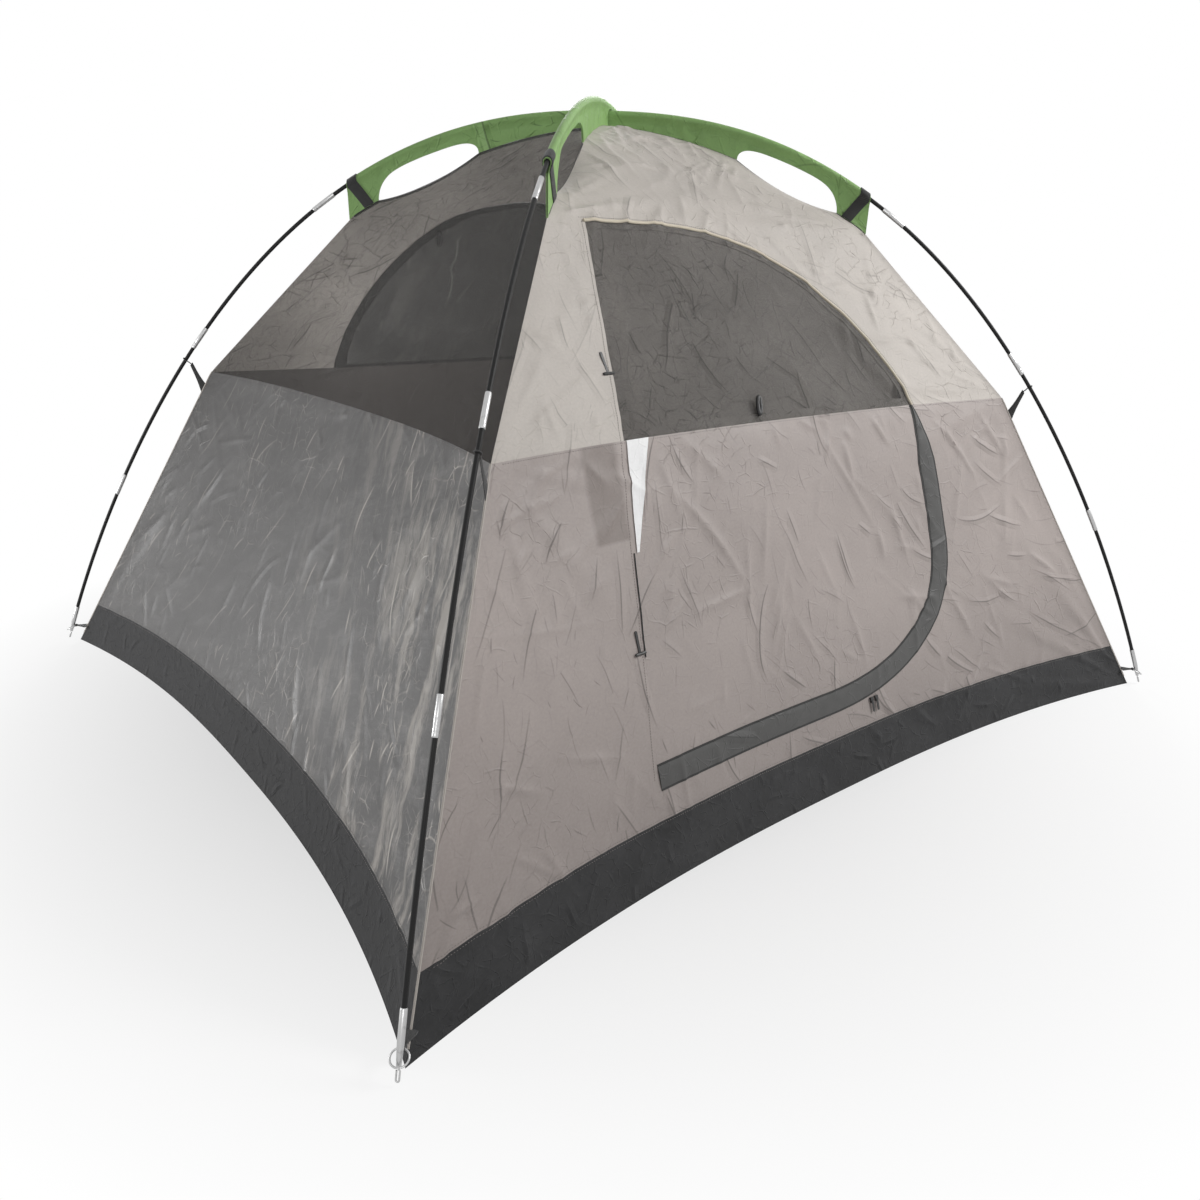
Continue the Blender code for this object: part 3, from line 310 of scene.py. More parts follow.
def bow_height(reach, top):
    """Height of a pole's middle line at a distance from the tent's middle."""
    return top * np.clip(1 - np.abs(np.asarray(reach) / POLE_REACH) ** POLE_FULL, 0, None) ** POLE_BOW


def bow_reach(height, top):
    return POLE_REACH * (1 - (height / top) ** (1 / POLE_BOW)) ** (1 / POLE_FULL)


class Bow:
    """A pole's middle line, followed by the distance along it from its first foot."""

    def __init__(self, pole):
        first, _, top = POLES[pole]
        turn = np.linspace(math.pi / 2, -math.pi / 2, 8001)
        self.reach = POLE_REACH * np.sin(turn)
        self.height = top * (1 - np.abs(np.sin(turn)) ** POLE_FULL).clip(0) ** POLE_BOW
        steps = np.hypot(np.diff(self.reach), np.diff(self.height))
        self.along = np.concatenate([[0], np.cumsum(steps)])
        self.length = float(self.along[-1])
        self.out = CORNERS[first]
        self.side = np.cross(UP, self.out)

    def points(self, along):
        reach = np.interp(along, self.along, self.reach)
        height = np.interp(along, self.along, self.height)
        return np.multiply.outer(reach, self.out) + np.multiply.outer(height, UP)

    def frames(self, along, nip=0.004):
        """Points, and the two directions square to the pole there."""
        low = np.clip(np.asarray(along) - nip, 0, self.length - 2 * nip)
        direction = unit(self.points(low + 2 * nip) - self.points(low))
        side = np.broadcast_to(self.side, direction.shape)
        return self.points(along), np.cross(side, direction), side

    def at_height(self, height):
        half = len(self.along) // 2
        return float(np.interp(height, self.height[:half], self.along[:half]))


class Profile:
    """The corner seam of the cloth in its diagonal plane: floor, band, eave and roof."""

    def __init__(self):
        band = bow_reach(BAND_HEIGHT, POLE_TOP) - BAND_GAP
        corners = [(POLE_REACH - FLOOR_GAP, 0.0), (band, BAND_HEIGHT), (EAVE_REACH, EAVE_HEIGHT)]
        share = np.linspace(1, 0, 300)
        rise = (ROOF_TOP - EAVE_HEIGHT) * (1 - share**ROOF_CURVE)
        line = np.vstack([corners[:-1], np.column_stack([EAVE_REACH * share, EAVE_HEIGHT + rise])])
        girth = np.concatenate([[0], np.cumsum(np.hypot(*np.diff(line, axis=0).T))])
        self.hem = girth[1] * HEM_HEIGHT / BAND_HEIGHT
        self.band = float(girth[1])
        self.eave = float(girth[2])
        self.girth = np.linspace(0, girth[-1], 4001)
        self.reach = self.rounded(np.interp(self.girth, girth, line[:, 0]))
        self.height = self.rounded(np.interp(self.girth, girth, line[:, 1]))

    def rounded(self, values):
        count = round(FOLD_ROUND / self.girth[1])
        padded = np.pad(values, count, mode="reflect", reflect_type="odd")
        return np.convolve(padded, np.full(2 * count + 1, 1 / (2 * count + 1)), mode="valid")

    def at(self, girth):
        return np.interp(girth, self.girth, self.reach), np.interp(girth, self.girth, self.height)

    def girth_at(self, height):
        return float(np.interp(height, self.height, self.girth))

    def girth_at_reach(self, reach):
        return float(np.interp(-reach, -self.reach, self.girth))

    def height_at_reach(self, reach):
        return np.interp(-np.asarray(reach), -self.reach, self.height)

    def sag(self, height):
        return np.interp(height, [0, BAND_HEIGHT, EAVE_HEIGHT, ROOF_TOP], [FLOOR_SAG, BAND_SAG, EAVE_SAG, 0])

    def dip(self, reach):
        """How far a ridge hangs down there, between the ends of a sleeve's cut-out."""
        share = 2 * (reach - CUTOUT_INNER) / (CUTOUT_OUTER - CUTOUT_INNER) - 1
        return RIDGE_DIP * np.clip(1 - share**2, 0, None)


PROFILE = Profile()
HEM = PROFILE.hem
BAND = PROFILE.band
EAVE = PROFILE.eave
APEX = PROFILE.girth_at_reach(APEX_CUT)


class Wall:
    """One side of the tent, turned round the middle from the front wall."""

    def __init__(self, name, quarter_turns, across, out, seed, slack):
        self.name = name
        self.turn = np.array(Matrix.Rotation(quarter_turns * math.pi / 2, 3, "Z"))
        self.across = across
        self.out = out
        self.seed = seed
        self.slack = slack  # share of the full height of folds and creases

    def half_width(self, girth):
        return PROFILE.at(girth)[0] * self.across

    def smooth_places(self, x, girth):
        """Places on the wall without its folds."""
        reach, height = PROFILE.at(girth)
        share = np.minimum(1, np.abs(x) / (reach * self.across))
        depth = PROFILE.sag(height) * (1 - share**SAG_SHAPE) - reach * self.out
        height = height - PROFILE.dip(reach) * share**DIP_SHAPE
        return np.stack(np.broadcast_arrays(x, depth, height), axis=-1) @ self.turn.T

    def normals(self, x, girth, nip=0.012):
        low, high = np.maximum(girth - nip, 0), np.minimum(girth + nip, PROFILE.girth[-1])
        along = self.smooth_places(x + nip, girth) - self.smooth_places(x - nip, girth)
        up = self.smooth_places(x, high) - self.smooth_places(x, low)
        return unit(np.cross(along, up))

    def places(self, x, girth, lift=0.0):
        """Places on the wall, raised from its smooth shape by a lift."""
        x, girth = np.asarray(x, float), np.asarray(girth, float)
        return self.smooth_places(x, girth) + self.normals(x, girth) * np.asarray(lift)[..., None]


WALLS = {
    "front": Wall("front", 0, SHARE_X, SHARE_Y, 11, 0.8),
    "right": Wall("right", 1, SHARE_Y, SHARE_X, 23, 0.4),
    "rear": Wall("rear", 2, SHARE_X, SHARE_Y, 37, 0.8),
    "left": Wall("left", 3, SHARE_Y, SHARE_X, 41, 0.4),
}
FRONT, RIGHT, REAR, LEFT = (WALLS[name] for name in ("front", "right", "rear", "left"))


def noise_at(x, y, scale, seed):
    return np.array([noise.noise((a, b, seed)) for a, b in zip(x * scale, y * scale)])


class Relief:
    """Folds and creases in the cloth of a wall, as heights over its smooth shape."""

    # How much of the folds the seams take away, and over what distances
    BAND_HOLD, BAND_SHIFT, BAND_REACH = 0.9, 0.01, 0.032
    TOGGLE_HOLD, TOGGLE_REACH = 0.95, 0.06
    ZIP_HOLD, ZIP_DROP, ZIP_REACH = 0.96, 0.035, 0.075
    ZIP_RUN = (0.24, 0.34)

    def __init__(self, wall, cloth):
        random = np.random.default_rng(wall.seed)
        count = cloth.crease_count
        self.wall = wall
        self.fold_height = cloth.fold_height
        self.girth = random.uniform(HEM * 0.6, APEX, count)
        self.x = random.uniform(-1, 1, count) * wall.half_width(self.girth)
        pulled = random.random(count) < 0.55
        lean = np.where(pulled, random.normal(1.25, 0.42, count), random.uniform(0, math.pi, count))
        self.angle = lean * np.where(self.x < 0, 1, -1)
        self.length = random.uniform(0.06, 0.42, count) * random.uniform(0.4, 1, count)
        self.width = random.uniform(0.007, 0.017, count)
        self.height = cloth.crease_height * random.uniform(0.15, 1, count) ** 2
        self.bend = random.normal(0, 0.35, count)

    def creases(self, x, girth):
        heights = np.zeros_like(x)
        rows = zip(self.x, self.girth, self.angle, self.length, self.width, self.height, self.bend)
        for x0, girth0, angle, length, width, height, bend in rows:
            near = np.flatnonzero((np.abs(x - x0) < length / 2) & (np.abs(girth - girth0) < length / 2))
            if not len(near):
                continue
            dx, dy = x[near] - x0, girth[near] - girth0
            along = dx * math.cos(angle) + dy * math.sin(angle)
            aside = dy * math.cos(angle) - dx * math.sin(angle) - bend * along**2
            taper = np.clip(1 - (2 * along / length) ** 2, 0, 1) ** 1.5
            crest = np.exp(-np.abs(aside) / width) - 0.35 * np.exp(-((aside / width / 3) ** 2))
            heights[near] += height * taper * crest
        return heights

    def fans(self, x, girth):
        """Folds that run out from the corners, where the cloth is pulled."""
        heights = np.zeros_like(x)
        pulls = [(0.0, 0.9, 12.0), (BAND, 0.4, 14.0), (EAVE, 0.4, 10.0)]
        for side in (-1, 1):
            for level, strength, count in pulls:
                corner = side * self.wall.half_width(level)
                dx, dy = (corner - x) * side, girth - level
                reach = np.hypot(dx, dy)
                angle = np.arctan2(dy, np.maximum(dx, 1e-6))
                bend = 2.2 * np.sin(2.3 * angle + self.wall.seed)
                wave = np.cos(count * angle + 1.7 * self.wall.seed + bend)
                ridge = np.clip(wave, 0, None) ** 2
                heights += strength * ridge * smooth(reach, 0.03, 0.2) * (1 - smooth(reach, 0.25, 0.85))
        return heights

    def slackness(self, x, girth):
        """Share of the folds that is left where seams, toggles and the zip hold the cloth flat."""
        left = np.ones_like(x)
        if self.wall.name in ("front", "rear"):
            left *= 1 - self.BAND_HOLD * np.exp(-(((girth - BAND - self.BAND_SHIFT) / self.BAND_REACH) ** 2))
        if self.wall.name == "front":
            for level in TOGGLE_GIRTHS:
                middle = door_hinge_x(level) - TOGGLE_INSET
                away = (x - middle) ** 2 + (girth - level) ** 2
                left *= 1 - self.TOGGLE_HOLD * np.exp(-away / self.TOGGLE_REACH**2)
            along = 1 - smooth(np.abs(x), *self.ZIP_RUN)
            above = (girth - DOOR_SILL + self.ZIP_DROP) / self.ZIP_REACH
            left *= 1 - self.ZIP_HOLD * along * np.exp(-(above**2))
        return left

    def at(self, x, girth):
        seed = self.wall.seed
        x, girth = np.asarray(x, float), np.asarray(girth, float)
        broad = noise_at(x, girth, 2.6, seed)
        middle = 1 - 2 * np.abs(noise_at(x, girth * 0.7, 6.5, seed + 0.5))
        small = 1 - 2 * np.abs(noise_at(x + 0.3 * girth, girth, 15.0, seed + 0.9))
        folds = self.fold_height * (0.5 * broad + 0.07 * middle + 0.025 * small + 0.4 * self.fans(x, girth))
        edge = self.wall.half_width(girth) - np.abs(x)
        fade = smooth(edge, 0.0, 0.06) * smooth(girth, 0.0, 0.05) * (1 - smooth(girth, APEX - 0.12, APEX))
        puckers = np.zeros_like(x)
        for level in (HEM, BAND):
            waves = noise_at(x, girth * 0.25, 34.0, seed + level)
            puckers += 0.0011 * waves * np.exp(-np.abs(girth - level) / 0.028)
        slack = self.wall.slack * self.slackness(x, girth)
        return ((folds + self.creases(x, girth)) * slack + puckers) * fade


# Flat outlines, as runs of points across and up the cloth


def run_of(x, girth):
    return list(zip(np.broadcast_to(x, np.shape(girth)).tolist(), np.asarray(girth, float).tolist()))


def corner_run(wall, low, high, side):
    girth = np.linspace(low, high, 60)
    return run_of(side * wall.half_width(girth), girth)


def full_arc(centre, size, roundness, start, end, count=120):
    """An arc that is fuller than an ellipse, from one angle to another in the first quarter turn."""
    angle = np.linspace(start, end, count)
    x = centre[0] + size[0] * np.abs(np.cos(angle)) ** (2 / roundness)
    girth = centre[1] + size[1] * np.abs(np.sin(angle)) ** (2 / roundness)
    return run_of(x, girth)


def angle_at(rise, roundness):
    return math.asin(min(1.0, rise) ** (roundness / 2))


def door_hinge_x(girth):
    """The door's hinge seam, which bends at the band."""
    return np.interp(girth, [DOOR_SILL, BAND, DOOR_TOP], [DOOR_FOOT_LEFT, DOOR_BAND_LEFT, DOOR_TOP_LEFT])


def door_upper(margin=0.0, low=BAND):
    """Edge of the door above a girth, from the hinge seam over the arch to its right side."""
    size = (DOOR_RIGHT - DOOR_ARCH_CENTRE + margin, DOOR_TOP - DOOR_WIDEST + margin)
    end = angle_at((low - DOOR_WIDEST) / size[1], DOOR_ROUND)
    arc = full_arc((DOOR_ARCH_CENTRE, DOOR_WIDEST), size, DOOR_ROUND, math.pi / 2, end)
    return [(float(door_hinge_x(low)) - margin, low), (DOOR_TOP_LEFT - margin, DOOR_TOP + margin)] + arc


def door_lower(margin=0.0, high=BAND):
    """Edge of the door below a girth, from its right side round the foot to the hinge seam."""
    size = (DOOR_RIGHT - DOOR_ARCH_CENTRE + margin, DOOR_TOP - DOOR_WIDEST + margin)
    start = angle_at((high - DOOR_WIDEST) / size[1], DOOR_ROUND)
    side = full_arc((DOOR_ARCH_CENTRE, DOOR_WIDEST), size, DOOR_ROUND, start, 0, 40)
    size = (DOOR_RIGHT - DOOR_FOOT_CENTRE + margin, DOOR_SILL - DOOR_WIDEST - margin)
    foot = full_arc((DOOR_FOOT_CENTRE, DOOR_WIDEST), size, DOOR_ROUND, 0, math.pi / 2)
    left = [(DOOR_FOOT_LEFT - margin, DOOR_SILL - margin), (float(door_hinge_x(high)) - margin, high)]
    return side + foot[1:] + left


def rear_arch(margin=0.0, low=BAND):
    """Edge of the rear window above a girth, from its left foot over to its right foot."""
    size = (REAR_HALF_WIDTH + margin, REAR_TOP - BAND + margin)
    right = full_arc((0, BAND), size, REAR_ROUND, math.pi / 2, angle_at((low - BAND) / size[1], REAR_ROUND))
    return [(-x, girth) for x, girth in reversed(right)] + right[1:]


def wall_outline(wall, low, high, notch_below=(), notch_above=()):
    """Outline of a wall between two girths, with a notch in its foot or its top."""
    right = corner_run(wall, low, high, 1)
    left = corner_run(wall, high, low, -1)
    return list(notch_below) + right + list(notch_above) + left


def spaced(points, step, closed=False):
    """A run of points again, with points no further apart than a step."""
    points = np.asarray(points, float)
    ends = np.vstack([points, points[:1]]) if closed else points
    run = [ends[:1]]
    for start, end in zip(ends, ends[1:]):
        count = math.ceil(np.linalg.norm(end - start) / step - 1e-9)
        if count:
            run.append(start + (end - start) * (np.arange(1, count + 1) / count)[:, None])
    run = np.vstack(run)
    return run[:-1] if closed else run


def along_run(points):
    """Distance of each point of a run from its first one, along it."""
    steps = np.linalg.norm(np.diff(np.asarray(points, float), axis=0), axis=1)
    return np.concatenate([[0], np.cumsum(steps)])


def evenly(points, step):
    """Points at even distances along a run."""
    points = np.asarray(points, float)
    along = along_run(points)
    spots = np.linspace(0, along[-1], max(2, round(along[-1] / step) + 1))
    return np.column_stack([np.interp(spots, along, column) for column in points.T])


def turned_area(outline):
    """Twice an outline's area, below zero for one that runs clockwise."""
    x, y = np.asarray(outline, float).T
    return float(np.dot(x, np.roll(y, -1)) - np.dot(y, np.roll(x, -1)))


def anticlockwise(outline):
    return outline if turned_area(outline) > 0 else outline[::-1]


def inside(points, ring):
    crossings = np.zeros(len(points), int)
    x, y = points.T
    for (x0, y0), (x1, y1) in zip(ring, np.roll(ring, -1, axis=0)):
        if y0 != y1:
            crossings += ((y0 > y) != (y1 > y)) & (x < x0 + (y - y0) * (x1 - x0) / (y1 - y0))
    return crossings % 2 == 1


def cut(outline, step):
    """Points and triangles of cloth cut to an outline, on a lattice of even triangles."""
    ring = spaced(outline, step, closed=True)
    low, high = ring.min(0), ring.max(0)
    rows = np.arange(low[1] + step / 2, high[1], step * math.sqrt(0.75))
    columns = np.arange(low[0], high[0] + step, step)
    lattice = []
    for i, row in enumerate(rows):
        lattice.append(np.column_stack([columns + step / 2 * (i % 2), np.full(len(columns), row)]))
    lattice = np.vstack(lattice)
    lattice = lattice[inside(lattice, ring)]
    tree = kdtree.KDTree(len(ring))
    for i, (x, y) in enumerate(ring):
        tree.insert((x, y, 0), i)
    tree.balance()
    clear = [tree.find((x, y, 0))[2] > 0.55 * step for x, y in lattice]
    points = np.vstack([ring, lattice[clear]])
    edges = [(i, (i + 1) % len(ring)) for i in range(len(ring))]
    corners, _, triangles, *_ = delaunay_2d_cdt([Vector(p) for p in points.tolist()], edges, [], 1, 1e-7)
    return np.array([tuple(corner) for corner in corners]), np.array(triangles)


# Pieces


def piece(name, points, faces, looks, uv=None, face_looks=None, smooth_faces=True):
    """A mesh object in place, with its materials and, for cloth, the flat cut as its UV map."""
    mesh = bpy.data.meshes.new(name)
    mesh.from_pydata(np.asarray(points).tolist(), [], [list(map(int, face)) for face in faces])
    for material in looks if isinstance(looks, list) else [looks]:
        mesh.materials.append(material)
    if face_looks is not None:
        mesh.polygons.foreach_set("material_index", np.asarray(face_looks, np.int32))
    if uv is not None:
        corners = np.zeros(len(mesh.loops), np.int32)
        mesh.loops.foreach_get("vertex_index", corners)
        layer = mesh.uv_layers.new(name="cloth")
        layer.data.foreach_set("uv", np.asarray(uv, np.float32)[corners].ravel())
    if smooth_faces:
        mesh.shade_smooth()
        mesh.set_sharp_from_angle(angle=math.radians(50))
    mesh.update()
    body = bpy.data.objects.new(name, mesh)
    bpy.context.scene.collection.objects.link(body)
    return body


def closed_sheet(outer, inner, triangles):
    """Points and faces of a sheet with two faces and a rim."""
    count = len(outer)
    edges = np.vstack([triangles[:, [0, 1]], triangles[:, [1, 2]], triangles[:, [2, 0]]])
    keys = np.sort(edges, axis=1)
    _, first, uses = np.unique(keys, axis=0, return_index=True, return_counts=True)
    rim = edges[first[uses == 1]]
    sides = np.column_stack([rim[:, 1], rim[:, 0], rim[:, 0] + count, rim[:, 1] + count])
    faces = triangles.tolist() + (triangles[:, ::-1] + count).tolist() + sides.tolist()
    return np.vstack([outer, inner]), faces


def circle(place, first, second, radius, sides):
    turns = 2 * math.pi * np.arange(sides) / sides
    return place + radius * (np.outer(np.cos(turns), first) + np.outer(np.sin(turns), second))


def tube(path, radius, sides, closed=False):
    """Points and faces of a round wire along a run of points, with flat ends."""
    path = np.asarray(path, float)
    ahead = np.roll(path, -1, axis=0) - np.roll(path, 1, axis=0)
    if not closed:
        ahead[0], ahead[-1] = path[1] - path[0], path[-1] - path[-2]
    ahead = unit(ahead)
    first = np.array(Vector(ahead[0]).orthogonal().normalized())
    rings = []
    for place, direction in zip(path, ahead):
        first = unit(first - direction * np.dot(first, direction))
        rings.append(circle(place, first, np.cross(direction, first), radius, sides))
    return loft(rings, closed)


def loft(rings, closed=False):
    """Points and faces through rings of as many points each, capped unless they close on themselves."""
    sides = len(rings[0])
    count = len(rings)
    faces = []
    for row in range(count if closed else count - 1):
        low, high = row * sides, (row + 1) % count * sides
        for i in range(sides):
            j = (i + 1) % sides
            faces.append((low + i, low + j, high + j, high + i))
    if not closed:
        faces.append(tuple(reversed(range(sides))))
        faces.append(tuple(range((count - 1) * sides, count * sides)))
    return np.vstack(rings), faces


def outward(body):
    """Turns a closed piece's faces outwards."""
    mesh = body.data
    points = np.zeros(len(mesh.vertices) * 3)
    mesh.vertices.foreach_get("co", points)
    points = points.reshape(-1, 3)
    mesh.calc_loop_triangles()
    triangles = np.zeros(len(mesh.loop_triangles) * 3, np.int32)
    mesh.loop_triangles.foreach_get("vertices", triangles)
    a, b, c = ((points - points.mean(0))[triangles.reshape(-1, 3)[:, i]] for i in range(3))
    if np.einsum("ij,ij->i", a, np.cross(b, c)).sum() < 0:
        mesh.flip_normals()
    return body


def recalculated(body):
    """Makes a closed piece's faces agree with each other and point outwards."""
    form = bmesh.new()
    form.from_mesh(body.data)
    bmesh.ops.recalc_face_normals(form, faces=form.faces)
    form.to_mesh(body.data)
    form.free()
    return outward(body)


def settle(body, rides_on, replaced=None):
    """Fixes a finished piece to a body of the frame."""
    if replaced:
        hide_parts(replaced)
    if rides_on:
        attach(body, rides_on)


def solid_piece(name, form, finish, rides_on, replaced=None):
    """A closed piece of one finish, from its points and faces, fixed to a body of the frame."""
    settle(outward(piece(name, *form, look(finish))), rides_on, replaced)


RELIEFS = {}


def relief(wall, cloth):
    if wall.name not in RELIEFS:
        RELIEFS[wall.name] = Relief(wall, cloth)
    return RELIEFS[wall.name]


def declare_sheet(outline):
    """Works out the flat size that a sheet was cut to, and keeps nothing of it."""
    tuple(flat_size(outline))


def flat_size(outline):
    """Sides of the smallest rectangle that an outline is cut from, turned as it may be on the roll."""
    turns = np.radians(np.arange(0, 90, 1))
    across = np.column_stack([np.cos(turns), -np.sin(turns)])
    upward = np.column_stack([np.sin(turns), np.cos(turns)])
    spans = np.ptp(np.stack([across, upward]) @ np.asarray(outline, float).T, axis=2)
    best = np.argmin(spans.prod(axis=0))
    return sorted(spans[:, best].tolist())


def wall_cloth(name, wall, outline, finishes, cloth, step, lift=0.0, strength=1.0):
    """A piece of cloth cut to an outline and stretched on a wall, with its folds."""
    flat, triangles = cut(outline, step)
    x, girth = flat.T
    height = relief(wall, cloth).at(x, girth)
    if strength != 1.0:
        height = height * (strength + (1 - strength) * np.exp(-np.abs(girth - BAND) / 0.05))
    normals = wall.normals(x, girth)
    outer = wall.smooth_places(x, girth) + normals * (height + lift)[:, None]
    points, faces = closed_sheet(outer, outer - normals * cloth.thickness, triangles)
    within = np.arange(len(faces)) // len(triangles) == 1 if len(finishes) > 1 else None
    body = piece(name, points, faces, [look(finish) for finish in finishes], np.vstack([flat, flat]), within)
    declare_sheet(outline)
    return body


def ribbon(name, wall, middle, width, finish, cloth, crown, ripple=0.0):
    """A strip of cloth along a run on a wall, raised at its edges and its middle, with ripples."""
    across = np.linspace(-1, 1, 9)
    rows, columns = len(middle), len(across)
    ahead = np.gradient(middle, axis=0)
    aside = unit(np.column_stack([-ahead[:, 1], ahead[:, 0]]))
    half = np.broadcast_to(np.asarray(width) / 2, rows)
    spots = (middle[:, None] + aside[:, None] * np.multiply.outer(half, across)[..., None]).reshape(-1, 2)
    along = np.repeat(along_run(middle), columns)
    place = np.tile(across, rows)
    waves = ripple * noise_at(along, place * 0.03, 38.0, 8.0) if ripple else 0.0
    height = relief(wall, cloth).at(*spots.T) + crown[0] + crown[1] * (1 - place**4) + waves
    normals = wall.normals(*spots.T)
    outer = wall.smooth_places(*spots.T) + normals * height[:, None]
    grid = np.arange(rows * columns).reshape(rows, columns)
    a, b, c, d = (part.ravel() for part in (grid[:-1, :-1], grid[1:, :-1], grid[1:, 1:], grid[:-1, 1:]))
    triangles = np.vstack([np.column_stack([a, b, c]), np.column_stack([a, c, d])])
    first, second, third = outer[triangles[0]]
    facing = np.dot(np.cross(second - first, third - first), normals[0])
    triangles = triangles if facing > 0 else triangles[:, ::-1]
    points, faces = closed_sheet(outer, outer - normals * cloth.thickness, triangles)
    strip = np.column_stack([along, place * np.repeat(half, columns)])
    body = piece(name, points, faces, look(finish), np.vstack([strip, strip]))
    return body


# Materials


class Link:
    """An output socket that takes part in sums, which add the nodes that work them out."""

    def __init__(self, tree, socket):
        self.tree = tree
        self.socket = socket

    def math(self, operation, *values):
        return self.tree.node("ShaderNodeMath", {"operation": operation}, dict(enumerate(values)))

    def __add__(self, other):
        return self.math("ADD", self, other)

    def __sub__(self, other):
        return self.math("SUBTRACT", self, other)

    def __rsub__(self, other):
        return self.math("SUBTRACT", other, self)

    def __mul__(self, other):
        return self.math("MULTIPLY", self, other)

    def __truediv__(self, other):
        return self.math("DIVIDE", self, other)

    def __pow__(self, other):
        return self.math("POWER", self, other)

    __radd__ = __add__
    __rmul__ = __mul__

    def beside(self, output):
        """Another output of the same node."""
        return Link(self.tree, self.socket.node.outputs[output])

    def clipped(self):
        return self.math("MINIMUM", self.math("MAXIMUM", self, 0.0), 1.0)

    def absolute(self):
        return self.math("ABSOLUTE", self)

    def sine(self):
        return self.math("SINE", self)


class Tree:
    """The nodes of a material or of a geometry tree, each made by one call."""

    def __init__(self, tree):
        self.tree = tree

    def node(self, kind, settings=None, inputs=None, output=0):
        made = self.tree.nodes.new(kind)
        for name, value in (settings or {}).items():
            setattr(made, name, value)
        for key, value in (inputs or {}).items():
            if isinstance(value, Link):
                self.tree.links.new(value.socket, made.inputs[key])
            else:
                made.inputs[key].default_value = value
        return None if output is None else Link(self, made.outputs[output])

    def flat_place(self):
        """The place on the flat cut of a piece of cloth."""
        return self.node("ShaderNodeUVMap", {"uv_map": "cloth"})

    def solid_place(self):
        return self.node("ShaderNodeTexCoord", {}, {}, "Object")

    def split(self, vector):
        return self.node("ShaderNodeSeparateXYZ", {}, {0: vector})

    def vector(self, operation, first, second):
        return self.node("ShaderNodeVectorMath", {"operation": operation}, {0: first, 1: second})

    def mixed(self, factor, first, second):
        """A colour between two colours."""
        first, second = ((*colour, 1) if isinstance(colour, tuple) else colour for colour in (first, second))
        return self.node("ShaderNodeMix", {"data_type": "RGBA"}, {0: factor, 6: first, 7: second}, 2)

    def noise(self, place, scale, detail=3.0, roughness=0.55):
        inputs = {"Vector": place, "Scale": scale, "Detail": detail, "Roughness": roughness}
        return self.node("ShaderNodeTexNoise", {}, inputs)

    def creases(self, place, size, width, lean, fan, spread):
        """Scattered creases, one to each cell of a loose grid: thin lines, and the low ridges under them."""
        cells = {"Vector": place, "Scale": 1 / size}
        spot = self.node("ShaderNodeTexVoronoi", {"voronoi_dimensions": "2D"}, cells, "Position")
        chance = self.node("ShaderNodeSeparateColor", {}, {0: spot.beside("Color")})
        length = chance.beside(1) * (0.46 * size) + 0.12 * size
        strength = chance.beside(2) * 0.75 + 0.25
        tilt = self.split(spot) * fan + (chance - 0.5) * spread + lean
        upright = {"rotation_type": "Z_AXIS", "invert": True}
        offset = {"Vector": self.vector("SUBTRACT", place, spot), "Angle": tilt}
        aside = self.split(self.node("ShaderNodeVectorRotate", upright, offset))
        along = aside.beside(1)
        taper = (1.0 - (along / length) ** 2.0).clipped() * strength
        bent = (aside - along * along * (strength - 0.6) * (1.2 / size)).absolute()
        return (1.0 - bent / width).clipped() * taper, (1.0 - bent / (width * 5.0)).clipped() * taper

    def crumple(self, place, size, width):
        """Broken lines of crushed cloth, along the edges of a loose net of cells."""
        net = {"voronoi_dimensions": "2D", "feature": "DISTANCE_TO_EDGE"}
        edge = self.node("ShaderNodeTexVoronoi", net, {"Vector": place, "Scale": 1 / size}, "Distance")
        broken = ((self.noise(place, 1.3 / size, 2.0) - 0.46) * 7.0).clipped()
        return (1.0 - edge * (size / width)).clipped() * broken

    def moved(self, place, shift):
        return self.vector("ADD", place, (*shift, 0.0))

    def patches(self, place, scale, level):
        """Scattered patches with soft edges, where noise is over a level."""
        return ((self.noise(place, scale, 3.0) - level) * 8.0).clipped()

    def warped(self, place, scale, amount):
        """A place moved by noise, so that straight patterns wander."""
        shift = self.node("ShaderNodeTexNoise", {}, {"Vector": place, "Scale": scale, "Detail": 2.0}, 1)
        centred = self.vector("SUBTRACT", shift, (0.5, 0.5, 0.5))
        scaled = self.node("ShaderNodeVectorMath", {"operation": "SCALE"}, {0: centred, "Scale": amount})
        return self.vector("ADD", place, scaled)

    def mapped(self, place, turn=0.0, scale=(1.0, 1.0, 1.0)):
        """A place turned in its plane and then stretched."""
        upright = {"rotation_type": "Z_AXIS"}
        turned_place = self.node("ShaderNodeVectorRotate", upright, {"Vector": place, "Angle": turn})
        return self.vector("MULTIPLY", turned_place, scale)

    def bump(self, height, distance):
        return self.node("ShaderNodeBump", {}, {"Height": height, "Distance": distance, "Strength": 1.0})


THREAD_TURN = 2 * math.pi * 900  # of the woven threads' wave, for 900 threads in a metre


def shade(colour, level):
    return tuple(min(1.0, channel * level) for channel in colour)


# A warmer copy of a colour, for the painted highlights.
def warmed(colour):
    return tuple(channel * level for channel, level in zip(colour, (1.05, 1.0, 0.93)))


def new_look(name, constants):
    """A material with its Principled shader, whose plain values are set on their sockets."""
    material = bpy.data.materials.new(name)
    material.use_nodes = True
    shader = material.node_tree.nodes["Principled BSDF"]
    for socket, value in constants.items():
        shader.inputs[socket].default_value = value
    return material, shader, Tree(material.node_tree)


def feed(tree, shader, links):
    for socket, link in links.items():
        tree.tree.links.new(link.socket, shader.inputs[socket])


